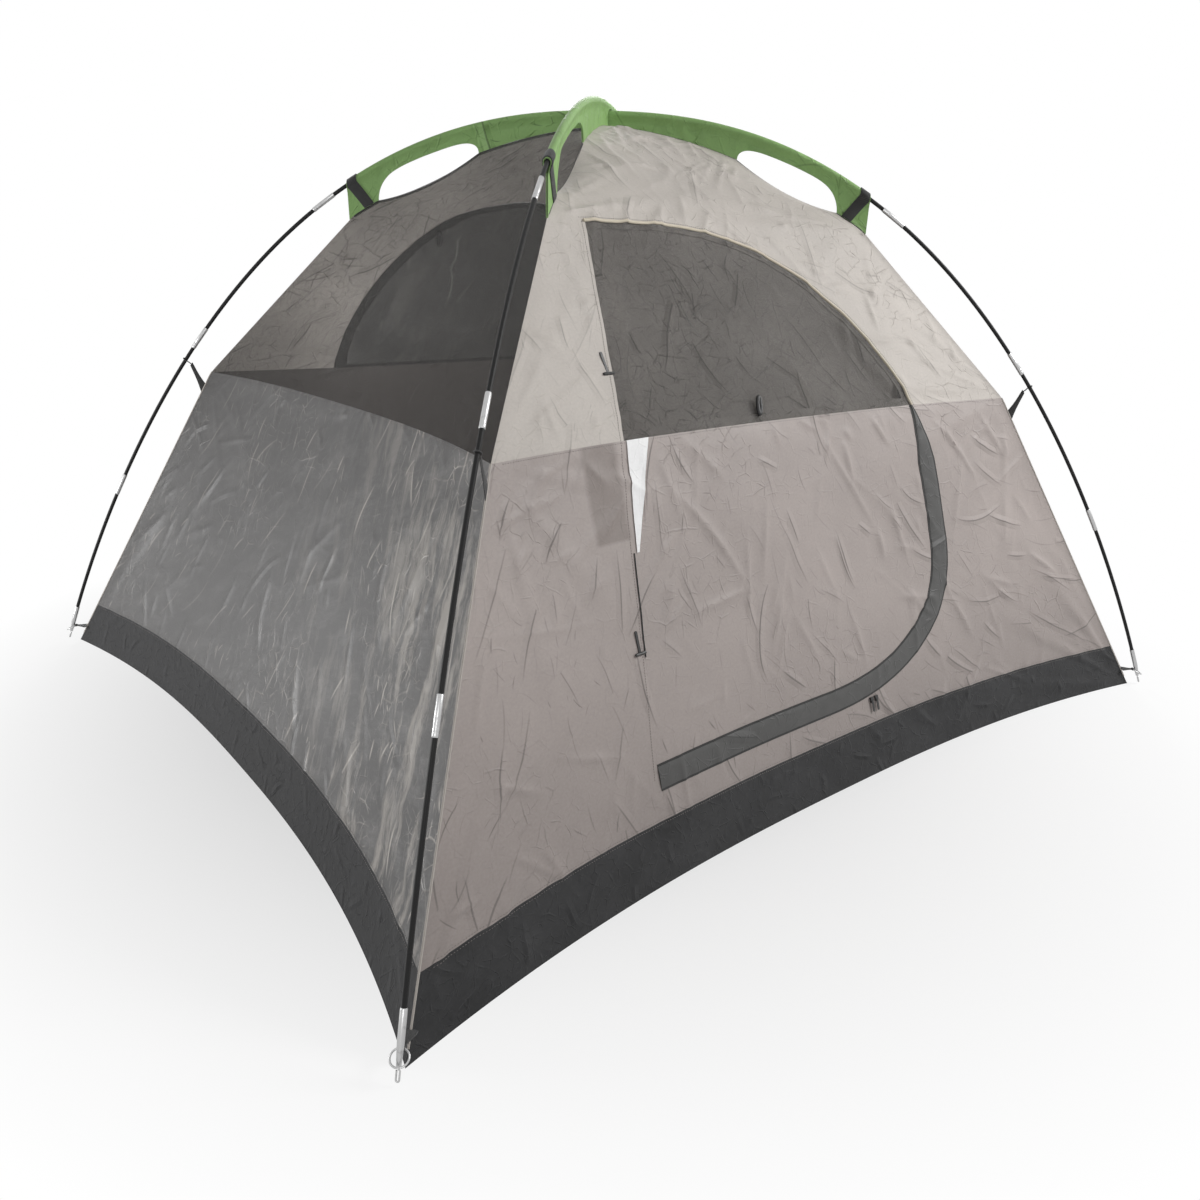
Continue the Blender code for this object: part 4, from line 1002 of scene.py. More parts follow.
def cloth_look(
    name, colour, roughness, dark=1.0, light=0.0, mottle=1.0, sheen=0.1, lean=0.0, ridged=0.8, level=0.5,
    grime=0.0, pocket=None,
):
    """Thin woven cloth that has been packed away: creases with painted shade, painted highlights and sheen
    on the glossy sides, fine threads, soft mottling.
    """
    constants = {"Sheen Weight": sheen, "Sheen Roughness": 0.4, "Specular IOR Level": 0.35}
    material, shader, tree = new_look(name, constants)
    flat = tree.flat_place()
    across = tree.split(flat)
    upward = across.beside(1)
    wander = tree.warped(flat, 3.0, 0.05)
    long_line, long_ridge = tree.creases(wander, 0.26, 0.003, lean, 0.85, 0.8)
    other_line, other_ridge = tree.creases(tree.moved(wander, (0.63, 0.29)), 0.19, 0.0028, lean, 0.85, 1.0)
    middle_line, middle_ridge = tree.creases(tree.moved(wander, (0.37, 0.91)), 0.12, 0.0025, lean, 0.85, 1.1)
    small_line, _ = tree.creases(tree.moved(wander, (0.71, 0.23)), 0.055, 0.0018, lean, 0.8, 1.8)
    crowded = tree.patches(flat, 3.2, 0.47)
    lines = long_line + other_line * 0.9 + middle_line * (0.3 + crowded * 0.6) + small_line * crowded * 0.5
    ridges = (long_ridge + other_ridge * 0.8 + middle_ridge * 0.45 * crowded) * ridged
    clouds = tree.noise(flat, 2.4, 5.0)
    grain = tree.noise(flat, 160.0, 2.0)
    threads = (across * THREAD_TURN).sine() + (upward * THREAD_TURN).sine()
    rumpled = tree.warped(flat, 12.0, 0.035)
    crushed = tree.patches(tree.moved(flat, (0.9, 0.4)), 2.3, 0.46)
    coarse_net = tree.crumple(rumpled, 0.07, 0.003)
    fine_net = tree.crumple(tree.moved(rumpled, (0.31, 0.17)), 0.036, 0.002)
    net = (coarse_net + fine_net * 0.7) * (0.25 + crushed * 0.75)
    # Painted shade: the crease lines and the crumpled net darken the base colour, as far as the dark setting
    # asks.
    tone = level + (clouds - 0.5) * 0.5 * mottle + (grain - 0.5) * 0.2 - (lines * 0.9 + net * 0.1) * dark
    # Painted shade: the cloth is darkened towards the ground, in uneven patches.
    if grime:
        tone = tone - (1.0 - upward * 2.0 + (clouds - 0.5) * 0.6).clipped() * grime
    surface = tree.mixed(tone.clipped(), shade(colour, 0.5), shade(colour, 1.5))
    height = ridges + net * 0.3 * ridged + clouds * 0.4 + threads * 0.0014
    gloss = roughness + (clouds - 0.5) * 0.16
    # Painted sheen and painted highlights: bright smears, shines and glints on thin creases lighten the base
    # colour, more towards the wall's forward edge.
    if light:
        glint_line, _ = tree.creases(tree.moved(wander, (0.19, 0.53)), 0.17, 0.0044, lean, 0.4, 0.7)
        streak_line, _ = tree.creases(tree.moved(wander, (0.57, 0.11)), 0.1, 0.0038, lean, 0.4, 0.9)
        spark_line, _ = tree.creases(tree.moved(wander, (0.83, 0.67)), 0.055, 0.0032, lean, 0.4, 1.3)
        gathered = tree.patches(wander, 3.6, 0.5)
        forward = (across + 0.3).clipped()
        sheen_noise = tree.noise(tree.mapped(rumpled, 1.15, (8.0, 2.6, 1.0)), 1.7, 8.0, 0.78)
        shine = tree.noise(tree.mapped(rumpled, -0.2, (10.0, 1.8, 1.0)), 1.5, 6.0, 0.7)
        sheen_patches = ((sheen_noise - 0.48) * 6.0).clipped() * (0.22 + forward * 0.3) * light
        surface = tree.mixed(sheen_patches, surface, shade(colour, 3.0))
        shines = ((shine - 0.5) * 9.0).clipped() * forward ** 2.0 * 0.85 * light
        surface = tree.mixed(shines, surface, warmed(shade(colour, 5.2)))
        glints = glint_line * 1.5 + (streak_line + spark_line) * gathered * 1.5 + net * crushed * 0.7
        glints = glints.clipped() * (0.3 + forward * 0.7) * light
        surface = tree.mixed(glints, surface, warmed(shade(colour, 6.8)))
        gloss = gloss - glints * 0.1
    # Painted shadow: a soft-edged rectangle is darkened where a pocket lies behind the front wall.
    if pocket:
        centre_x, centre_girth, half_x, half_girth = pocket
        beside = ((half_x - (across - centre_x).absolute()) * 70.0).clipped()
        within = ((half_girth - (upward - centre_girth).absolute()) * 110.0).clipped()
        behind = {"data_type": "RGBA", "blend_type": "MULTIPLY"}
        inputs = {0: beside * within, 6: surface, 7: (0.7, 0.69, 0.68, 1)}
        surface = tree.node("ShaderNodeMix", behind, inputs, 2)
    normal = tree.bump(height, 0.0048)
    feed(tree, shader, {"Base Color": surface, "Roughness": gloss.clipped(), "Normal": normal})
    return material


def mesh_look(name, colour):
    """Fine insect mesh: one layer lets part of the light through, a little unevenly."""
    material, shader, tree = new_look(name, {"Sheen Weight": 0.1, "Specular IOR Level": 0.2})
    flat = tree.flat_place()
    clouds = tree.noise(flat, 3.5, 4.0)
    grain = tree.noise(flat, 420.0, 2.0)
    wander = tree.warped(flat, 2.4, 0.08)
    long_lines, ridges = tree.creases(wander, 0.17, 0.003, -0.2, 0.4, 1.6)
    fine_lines, _ = tree.creases(tree.moved(wander, (0.47, 0.33)), 0.08, 0.0024, -0.2, 0.4, 2.0)
    rumpled = tree.warped(flat, 12.0, 0.03)
    net = tree.crumple(rumpled, 0.06, 0.0035) + tree.crumple(tree.moved(rumpled, (0.31, 0.57)), 0.03, 0.002)
    lines = long_lines + fine_lines * 0.7 + net * 0.3
    # Painted highlights: the mesh's colour is lighter along its creases.
    tone = 0.5 + (clouds - 0.5) * 1.1 + lines * 0.8
    feed(tree, shader, {
        "Base Color": tree.mixed(tone.clipped(), shade(colour, 0.75), shade(colour, 1.3)),
        "Roughness": (0.78 + (clouds - 0.5) * 0.2).clipped(),
        "Alpha": (MESH_COVER + (grain - 0.5) * 0.4 + (clouds - 0.5) * 0.25 + lines * 0.24).clipped(),
        "Normal": tree.bump(ridges + clouds * 0.3, 0.001),
    })
    return material


def floor_look(name, colour):
    """Coated floor cloth: matt and dark, with dust and fine dry creases."""
    material, shader, tree = new_look(name, {"Specular IOR Level": 0.2})
    flat = tree.flat_place()
    wander = tree.warped(flat, 4.0, 0.06)
    lines, ridges = tree.creases(wander, 0.1, 0.0022, 0.3, 0.3, 2.4)
    fine_lines, fine_ridges = tree.creases(tree.moved(wander, (0.41, 0.77)), 0.04, 0.0016, 0.0, 0.3, 3.1)
    clouds = tree.noise(flat, 5.0, 6.0, 0.65)
    dust = (tree.noise(flat, 240.0, 3.0, 0.7) * 9.0 - 5.6).clipped()
    rumpled = tree.warped(flat, 12.0, 0.03)
    coarse_net = tree.crumple(rumpled, 0.05, 0.0026)
    net = coarse_net + tree.crumple(tree.moved(rumpled, (0.23, 0.61)), 0.026, 0.0016)
    tone = 0.4 + (clouds - 0.5) * 1.5 + lines * 0.3 + fine_lines * 0.15 + net * 0.14 + dust * 0.6
    feed(tree, shader, {
        "Base Color": tree.mixed(tone.clipped(), shade(colour, 0.55), shade(colour, 1.7)),
        "Roughness": (0.72 + (clouds - 0.5) * 0.3).clipped(),
        "Normal": tree.bump(ridges + fine_ridges * 0.35 + net * 0.3 + clouds * 1.6, 0.004),
    })
    return material


def webbing_look(name, colour):
    """Woven webbing: ribs across it and a fine herringbone."""
    material, shader, tree = new_look(name, {"Sheen Weight": 0.3, "Sheen Roughness": 0.5})
    place = tree.solid_place()
    wave = {"Vector": place, "Scale": 260.0, "Distortion": 0.6}
    ribs = tree.node("ShaderNodeTexWave", {"bands_direction": "DIAGONAL"}, wave)
    grain = tree.noise(place, 900.0, 2.0)
    tone = (ribs * 0.7 + grain * 0.5 - 0.1).clipped()
    feed(tree, shader, {
        "Base Color": tree.mixed(tone, shade(colour, 0.6), shade(colour, 2.4)),
        "Roughness": (0.75 + grain * 0.2).clipped(),
        "Normal": tree.bump(ribs + grain * 0.4, 0.0004),
    })
    return material


def rod_look(name, colour):
    """Black fibreglass rod with fine lines along it and light scuffs."""
    material, shader, tree = new_look(name, {"Coat Roughness": 0.25, "Specular IOR Level": 0.14})
    place = tree.solid_place()
    fibres = tree.noise(tree.mapped(place, 0.0, (1.0, 1.0, 0.05)), 900.0, 3.0)
    scuffs = (tree.noise(place, 130.0, 4.0, 0.7) * 5.0 - 2.9).clipped()
    tone = (fibres * 0.4 + scuffs * 0.4).clipped()
    feed(tree, shader, {
        "Base Color": tree.mixed(tone, shade(colour, 0.6), (0.04, 0.04, 0.04)),
        "Roughness": (0.42 + fibres * 0.12 + scuffs * 0.2).clipped(),
        "Coat Weight": (0.05 - scuffs * 0.05).clipped(),
        "Normal": tree.bump(fibres + scuffs, 0.00005),
    })
    return material


def steel_look(name, colour):
    """Plated steel, with fine scratches and a few dull spots."""
    material, shader, tree = new_look(name, {"Metallic": 1.0})
    place = tree.solid_place()
    scratches = tree.noise(tree.mapped(place, 0.6, (1.0, 14.0, 1.0)), 240.0, 4.0)
    spots = (tree.noise(place, 90.0, 4.0, 0.7) * 5.0 - 2.8).clipped()
    tone = (spots * 0.7 + scratches * 0.2).clipped()
    feed(tree, shader, {
        "Base Color": tree.mixed(tone, shade(colour, 0.8), shade(colour, 0.4)),
        "Roughness": (0.26 + scratches * 0.16 + spots * 0.25).clipped(),
        "Normal": tree.bump(scratches, 0.00008),
    })
    return material


def plastic_look(name, colour):
    """Moulded black plastic with a fine grain and paler, rubbed places."""
    material, shader, tree = new_look(name, {"Specular IOR Level": 0.45})
    place = tree.solid_place()
    grain = tree.noise(place, 1400.0, 2.0)
    rubbed = (tree.noise(place, 160.0, 4.0, 0.7) * 5.0 - 2.8).clipped()
    tone = (grain * 0.4 + rubbed * 0.6).clipped()
    feed(tree, shader, {
        "Base Color": tree.mixed(tone, shade(colour, 0.8), (0.07, 0.07, 0.07)),
        "Roughness": (0.42 + grain * 0.12 + rubbed * 0.12).clipped(),
        "Normal": tree.bump(grain, 0.0001),
    })
    return material


COATED = {"dark": 0.3, "sheen": 0.0, "ridged": 0.4}  # what both glossy sides share

# Finishes of cloth: colour of the settings and its level, roughness, and what else differs
# dark sets how much painted shade the creases get, and light sets the painted highlights and sheen of the
# glossy sides.
CLOTH_LOOKS = {
    "beige_cloth": ("beige", 1.0, 0.6, {"dark": 0.6, "lean": 0.1}),
    "rear_beige_cloth": ("beige", 1.0, 0.6, {"dark": 1.5, "mottle": 1.8, "lean": 0.1, "ridged": 1.6}),
    "taupe_cloth": ("taupe", 1.0, 0.55, {"lean": 0.1, "grime": 0.3}),
    "front_taupe_cloth": ("taupe", 1.0, 0.55, {"lean": 0.1, "grime": 0.3, "pocket": POCKET_SHADOW}),
    # The grey sides carry painted sheen and highlights, set by light; weaker on the right side.
    "grey_cloth": ("grey", 1.0, 0.4, {**COATED, "light": 0.9, "lean": -0.3}),
    "right_grey_cloth": ("grey", 1.0, 0.4, {**COATED, "light": 0.4, "lean": 0.3}),
    "green_cloth": ("green", 1.0, 0.5, {"dark": 1.6, "mottle": 1.8, "sheen": 0.04, "ridged": 1.6}),
    "storm_cloth": ("storm", 1.0, 0.5, {"dark": 0.7}),
    "flap_cloth": ("flap", 1.0, 0.6, {"dark": 2.4, "ridged": 1.8}),
    # Painted shade: the rear flap is the same cloth as the door's flap, painted in the dark storm colour for
    # the shade inside the tent, with painted highlights on its creases.
    "rear_flap_cloth": ("storm", 1.0, 0.6, {"dark": 0.5, "light": 0.35}),
    # Painted shade: a copy of the taupe cloth at a quarter of its level, for the inside of the rear lower
    # wall.
    "inner_coat": ("taupe", 0.25, 0.5, {"dark": 0.4}),
    "white_label": ("label", 1.0, 0.6, {"dark": 0.2, "mottle": 0.3, "level": 0.95}),
    "cream_piping": ("piping", 1.0, 0.6, {"dark": 0.3}),
    "beige_piping": ("beige", 1.0, 0.6, {"dark": 0.3}),
    "zip_tape": ("storm", 0.4, 0.7, {"dark": 0.3}),
}
LOOKS = {}


def look(name):
    """A finish of the tent, made when it is first used."""
    if name not in LOOKS:
        LOOKS[name] = made_look(name)
    return LOOKS[name]


def made_look(name):
    cloth, hardware = bpy.context.scene.tent_cloth, bpy.context.scene.tent_hardware
    if name in CLOTH_LOOKS:
        colour, level, roughness, settings = CLOTH_LOOKS[name]
        return cloth_look(name, shade(getattr(cloth, colour), level), roughness, **settings)
    maker, colour = {
        "dark_mesh": (mesh_look, cloth.mesh),
        "floor_cloth": (floor_look, cloth.floor),
        "thread": (plastic_look, shade(cloth.taupe, 0.7)),
        "black_webbing": (webbing_look, hardware.webbing),
        "black_rod": (rod_look, hardware.rod),
        "bright_steel": (steel_look, hardware.steel),
        "black_plastic": (plastic_look, hardware.plastic),
    }[name]
    return maker(name, tuple(colour))


# Operators


class TENT_OT_stage(bpy.types.Operator):
    """Set the camera, the pale floor and the soft studio light"""

    bl_idname = "tent.stage"
    bl_label = "Stage"

    def execute(self, context):
        stage = context.scene.tent_stage
        context.scene.view_settings.view_transform = "Standard"
        self.camera(context, stage)
        self.sky(context, stage)
        self.floor()
        lamps = (
            ("key_lamp", (2.5, -2.6, 3.1), (0.1, -0.4, 0.6), 1.4, stage.key_power),
            ("fill_lamp", (-3.3, -3.4, 2.4), (-0.7, -0.2, 0.6), 1.8, stage.fill_power),
            ("sheen_lamp", (-3.3, 1.7, 0.75), (-1.0, -0.6, 0.4), 1.2, stage.sheen_power),
            ("back_lamp", (2.7, 3.3, 2.7), (0.3, 0.4, 0.6), 2.0, stage.back_power),
        )
        for name, place, aim, size, power in lamps:
            lamp = self.lamp(context, name, "AREA", place, power)
            lamp.data.shape = "DISK"
            lamp.data.size = size
            lamp.rotation_euler = (Vector(aim) - Vector(place)).to_track_quat("-Z", "Y").to_euler()
        glow = self.lamp(context, "cloth_glow", "POINT", (-0.35, 0.2, 0.75), stage.glow)
        glow.data.shadow_soft_size = 0.35
        return {"FINISHED"}

    def camera(self, context, stage):
        """The camera that was fitted to the photo, from its place and its right and up directions."""
        data = bpy.data.cameras.new("camera")
        data.lens = stage.lens
        data.sensor_width = 36
        data.shift_x = -0.0047
        data.shift_y = 0.0569
        right = Vector((0.77897, -0.62650, 0.02644))
        up = Vector((0.23552, 0.33139, 0.91363))
        back = right.cross(up)
        camera = bpy.data.objects.new("camera", data)
        turn = Matrix((right, up, back)).transposed().to_4x4()
        camera.matrix_world = Matrix.Translation((-1.6877, -2.1009, 1.1716)) @ turn
        context.scene.collection.objects.link(camera)
        context.scene.camera = camera

    def sky(self, context, stage):
        world = bpy.data.worlds.new("sky")
        world.use_nodes = True
        tree = Tree(world.node_tree)
        shader = world.node_tree.nodes["Background"]
        seen = tree.node("ShaderNodeLightPath", {}, {}, "Is Camera Ray")
        shown = (seen + seen.beside("Is Glossy Ray") + seen.beside("Is Transmission Ray")).clipped()
        shader.inputs["Color"].default_value = (1, 1, 1, 1)
        world.node_tree.links.new((shown * (1 - stage.sky) + stage.sky).socket, shader.inputs["Strength"])
        context.scene.world = world

    def floor(self):
        """A pale floor that keeps the tent's shadow near it and runs out to white."""
        constants = {"Base Color": (0.86, 0.86, 0.86, 1), "Roughness": 0.9, "Specular IOR Level": 0.0}
        ground, shader, tree = new_look("pale_floor", constants)
        operation = {"operation": "LENGTH"}
        distance = tree.node("ShaderNodeVectorMath", operation, {0: tree.solid_place()}, "Value")
        seen = tree.node("ShaderNodeLightPath", {}, {}, "Is Camera Ray")
        shown = (seen + seen.beside("Is Glossy Ray")).clipped() * (0.62 + (distance - 1.2) * 0.5).clipped()
        white = tree.node("ShaderNodeEmission", {}, {"Color": (1, 1, 1, 1), "Strength": 1.0})
        matt = Link(tree, shader.outputs[0])
        surface = tree.node("ShaderNodeMixShader", {}, {0: shown, 1: matt, 2: white})
        output = ground.node_tree.nodes["Material Output"]
        ground.node_tree.links.new(surface.socket, output.inputs["Surface"])
        size = 40.0
        level = -0.001
        corners = [(x * size, y * size, level) for x, y in ((-1, -1), (1, -1), (1, 1), (-1, 1))]
        piece("studio_floor", corners, [(0, 1, 2, 3)], ground, smooth_faces=False)

    def lamp(self, context, name, kind, place, power):
        data = bpy.data.lights.new(name, kind)
        data.energy = power
        lamp = bpy.data.objects.new(name, data)
        lamp.location = place
        context.scene.collection.objects.link(lamp)
        return lamp


class TENT_OT_floor(bpy.types.Operator):
    """Lay the floor cloth and the hem that it turns up at each wall"""

    bl_idname = "tent.floor"
    bl_label = "Floor and hem"

    def execute(self, context):
        cloth = context.scene.tent_cloth
        for wall in WALLS.values():
            step = cloth.near_step if wall in (FRONT, LEFT) else cloth.far_step
            outline = wall_outline(wall, 0.0, HEM)
            hem = wall_cloth(f"hem_{wall.name}", wall, outline, ["floor_cloth"], cloth, step)
            settle(hem, "tent", "floor_tub")
        edge = []
        for wall in WALLS.values():
            x = np.linspace(-1, 1, 120)[:-1] * wall.half_width(0.0)
            edge += wall.smooth_places(x, np.zeros_like(x))[:, :2].tolist()
        flat, triangles = cut(edge, FLOOR_STEP)
        x, y = flat.T
        lift = 0.0012 + 0.0008 * noise_at(x, y, 4.0, 5.0)
        top = np.column_stack([x, y, lift])
        points, faces = closed_sheet(top, np.column_stack([x, y, np.zeros_like(x)]), triangles)
        floor = piece("floor_sheet", points, faces, look("floor_cloth"), np.vstack([flat, flat]))
        declare_sheet(edge)
        settle(floor, "tent", "floor_tub")
        return {"FINISHED"}


class TENT_OT_walls(bpy.types.Operator):
    """Stretch the walls: lower panels, upper panels and the mesh of the sides and the rear window"""

    bl_idname = "tent.walls"
    bl_label = "Walls"

    def execute(self, context):
        cloth = context.scene.tent_cloth
        near, far = cloth.near_step, cloth.far_step
        below_door = wall_outline(FRONT, HEM, BAND, notch_above=door_lower())
        above_door = wall_outline(FRONT, BAND, APEX, notch_below=door_upper())
        panels = [
            ("front_wall_lower", FRONT, below_door, "front_taupe_cloth", near, 1.0),
            ("front_wall_upper", FRONT, above_door, "beige_cloth", near, 1.0),
            ("left_wall_lower", LEFT, wall_outline(LEFT, HEM, BAND), "grey_cloth", near, 1.0),
            ("left_mesh_panel", LEFT, wall_outline(LEFT, BAND, APEX), "dark_mesh", near, 0.45),
            ("right_wall_lower", RIGHT, wall_outline(RIGHT, HEM, BAND), "right_grey_cloth", far, 1.0),
            ("right_mesh_panel", RIGHT, wall_outline(RIGHT, BAND, APEX), "dark_mesh", far, 0.45),
            ("rear_wall_lower", REAR, wall_outline(REAR, HEM, BAND), "taupe_cloth", far, 1.0),
            ("rear_window_mesh", REAR, rear_arch()[::-1], "dark_mesh", far, 1.0),
        ]
        for node, wall, outline, finish, step, strength in panels:
            # The inside face of the rear lower wall gets the darker copy of the taupe: painted shade.
            finishes = [finish, "inner_coat"] if node == "rear_wall_lower" else [finish]
            sheet = wall_cloth(
                f"{node}_cloth", wall, outline, finishes, cloth, step, strength=strength
            )
            settle(sheet, "tent", node)
        self.rear_upper(cloth)
        self.rear_flap(cloth)
        return {"FINISHED"}

    def rear_upper(self, cloth):
        """The rear wall above the band, in two halves sewn together over the window's arch."""
        arch = rear_arch()
        right = arch[len(arch) // 2 :] + corner_run(REAR, BAND, APEX, 1) + [(0.0, APEX)]
        left = [(-x, girth) for x, girth in reversed(right)]
        for side, outline in (("right", right), ("left", left)):
            name = f"rear_wall_upper_{side}_cloth"
            finishes = ["rear_beige_cloth"]
            sheet = wall_cloth(name, REAR, outline, finishes, cloth, cloth.far_step)
            settle(sheet, "tent", "rear_wall_upper")

    def rear_flap(self, cloth):
        """The rear window's inner flap, and the zip tape round the window."""
        foot = BAND + TAPE_WIDTH / 2
        ends = [(-REAR_HALF_WIDTH, foot), (REAR_HALF_WIDTH, foot)]
        tapes = (
            ("rear_window_tape", rear_arch(-REAR_TAPE_WIDTH / 2, foot), REAR_TAPE_WIDTH, TAPE_DEPTH),
            ("rear_window_foot_tape", ends, TAPE_WIDTH, FOOT_TAPE_DEPTH),
        )
        for name, run, width, depth in tapes:
            tape = ribbon(name, REAR, evenly(run, 0.01), width, "zip_tape", cloth, (depth, 0.0))
            settle(tape, "tent", "rear_window_mesh")
        edge = rear_arch(-REAR_FLAP_INSET, BAND + WINDOW_INSET)
        # The rear flap gets the darker copy of the flap cloth: painted shade.
        flap = window_flap("rear_window_flap_cloth", REAR, edge, cloth, "rear_flap_cloth")
        settle(flap, "rear_flap", "rear_window_flap")


def window_flap(name, wall, edge, cloth, finish):
    """The inner flap of a window: flat at its foot and middle, and up against the mesh along its zip."""
    outline = anticlockwise(edge)
    flat, triangles = cut(outline, cloth.far_step)
    x, girth = flat.T
    middle = np.zeros_like(x)
    rise = girth - girth.min()
    wrinkles = 1 - 2 * np.abs(noise_at(x, girth * 0.6, 5.0, wall.seed + 3.1))
    clear = smooth(rise, 0.0, 0.1)
    depth = -FLAP_ROOT_DEPTH - (FLAP_MIDDLE_DEPTH + FLAP_WRINKLE * (1 + wrinkles)) * clear
    normal = wall.normals(middle, girth)
    place = wall.places(middle, girth, depth) + np.outer(x, wall.turn[:, 0])
    zipped = wall.places(x, girth, relief(wall, cloth).at(x, girth) - FLAP_ZIP_DEPTH)
    margin = np.hypot(*(flat[:, None] - spaced(edge, 0.01)[None]).transpose(2, 0, 1)).min(1)
    near = (1 - smooth(margin, 0.01, 0.07)) * smooth(rise, 0.0, 0.06)
    place += (zipped - place) * near[:, None]
    points, faces = closed_sheet(place, place - normal * cloth.thickness, triangles)
    body = piece(name, points, faces, look(finish), np.vstack([flat, flat]))
    declare_sheet(outline)
    return body


class TENT_OT_door(bpy.types.Operator):
    """Hang the door: its cloth, mesh window with inner flap, storm flap over the zip and blank label"""

    bl_idname = "tent.door"
    bl_label = "Door"

    def execute(self, context):
        cloth = context.scene.tent_cloth
        below, above = (DOOR_SILL, BAND), (BAND, DOOR_TOP)
        panels = (
            ("door_panel_cloth", door_lower(), "taupe_cloth", "lower", "door_lower_panel", below),
            ("door_mesh_cloth", door_upper(), "dark_mesh", "upper", "door_window_mesh", above),
        )
        for name, edge, finish, half, node, girths in panels:
            panel = wall_cloth(name, FRONT, anticlockwise(edge), [finish], cloth, cloth.near_step)
            self.hang(panel, finish, node, girths)
        edge = self.flap_edge()
        flap = window_flap("door_flap_cloth", FRONT, edge, cloth, "flap_cloth")
        settle(flap, "door_flap", "door_window_flap")
        self.storm_flap(cloth)
        self.window_tapes(cloth)
        self.label(cloth)
        return {"FINISHED"}

    def flap_edge(self):
        """Edge of the inner flap, clear of the strip of mesh that bends at the hinge seam."""
        edge = door_upper(-DOOR_FLAP_INSET, BAND + WINDOW_INSET)
        return [(x + WINDOW_INSET, girth) for x, girth in edge[:2]] + edge[2:]

    def hang(self, body, slot, node, girths):
        """Hides the frame's part that a piece stands for, works out a point beside the hinge seam without
        keeping it, and bakes the piece's place into its points.
        """
        settle(body, None, node)
        foot, top = (FRONT.places(door_hinge_x(girth), girth) for girth in girths)
        middle = sum(girths) / 2
        normal = FRONT.normals(door_hinge_x(middle), np.float64(middle))
        across = unit(np.cross(top - foot, normal))
        across = across if across[0] > 0 else -across
        seam = (foot + top) / 2
        tuple(seam + across * WINDOW_INSET)
        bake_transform(body)

    def storm_flap(self, cloth):
        """A strip along the foot and the right side of the door, coming to a point at the band."""
        middle = door_lower()[:-1]
        middle[-1] = (DOOR_FOOT_LEFT + STORM_FLAP_INSET, DOOR_SILL)
        middle = evenly(middle, 0.006)
        x, girth = middle.T
        share = np.where(x > 0, np.clip((BAND - girth) / STORM_FLAP_TAPER, 0.04, 1), 1.0)
        width = share * STORM_FLAP_WIDTH
        crown = (STORM_FLAP_LIFT, STORM_FLAP_CROWN)
        strips = (
            ("storm_flap_cloth", width, "storm_cloth", crown, STORM_FLAP_RIPPLE),
            ("door_zip_tape", width + ZIP_TAPE_MARGIN, "zip_tape", (ZIP_TAPE_LIFT, 0.0), 0.0),
        )
        for name, wide, finish, crown, ripple in strips:
            strip = ribbon(name, FRONT, middle, wide, finish, cloth, crown, ripple)
            self.hang(strip, "storm_cloth", "door_zip_flap", (DOOR_SILL, BAND))

    def window_tapes(self, cloth):
        """The zip tapes round the window, between its mesh and its inner flap."""
        foot = BAND + TAPE_WIDTH / 2
        foot_run = [(float(door_hinge_x(foot)), foot), (door_upper(0.0, foot)[-1][0], foot)]
        ends = (BAND + TAPE_WIDTH + TAPE_SPACE, DOOR_TOP - DOOR_TAPE_WIDTH - TAPE_SPACE)
        hinge_run = [(float(door_hinge_x(girth)) + TAPE_WIDTH / 2, girth) for girth in ends]
        tapes = (
            ("door_window_tape", door_upper(-DOOR_TAPE_WIDTH / 2)[1:], DOOR_TAPE_WIDTH, TAPE_DEPTH),
            ("door_window_foot_tape", foot_run, TAPE_WIDTH, FOOT_TAPE_DEPTH),
            ("door_window_hinge_tape", hinge_run, TAPE_WIDTH, FOOT_TAPE_DEPTH),
        )
        for name, run, width, depth in tapes:
            middle = evenly(run, TAPE_STEP)
            tape = ribbon(name, FRONT, middle, width, "flap_cloth", cloth, (depth, 0.0))
            self.hang(tape, "storm_cloth", "door_window_mesh", (BAND, DOOR_TOP))

    def label(self, cloth):
        top = BAND - 0.0004
        left = [(float(door_hinge_x(girth)) + LABEL_INSET, girth) for girth in (top, top - LABEL_LENGTH)]
        outline = [left[1], (left[1][0] + LABEL_INSET, left[1][1]), (left[0][0] + LABEL_WIDTH, top), left[0]]
        name, under = "care_label_cloth", "door_panel_cloth"
        label = wall_cloth(name, FRONT, outline, ["white_label"], cloth, LABEL_STEP, LABEL_LIFT)
        self.hang(label, "white_label", "care_label", (DOOR_SILL, BAND))


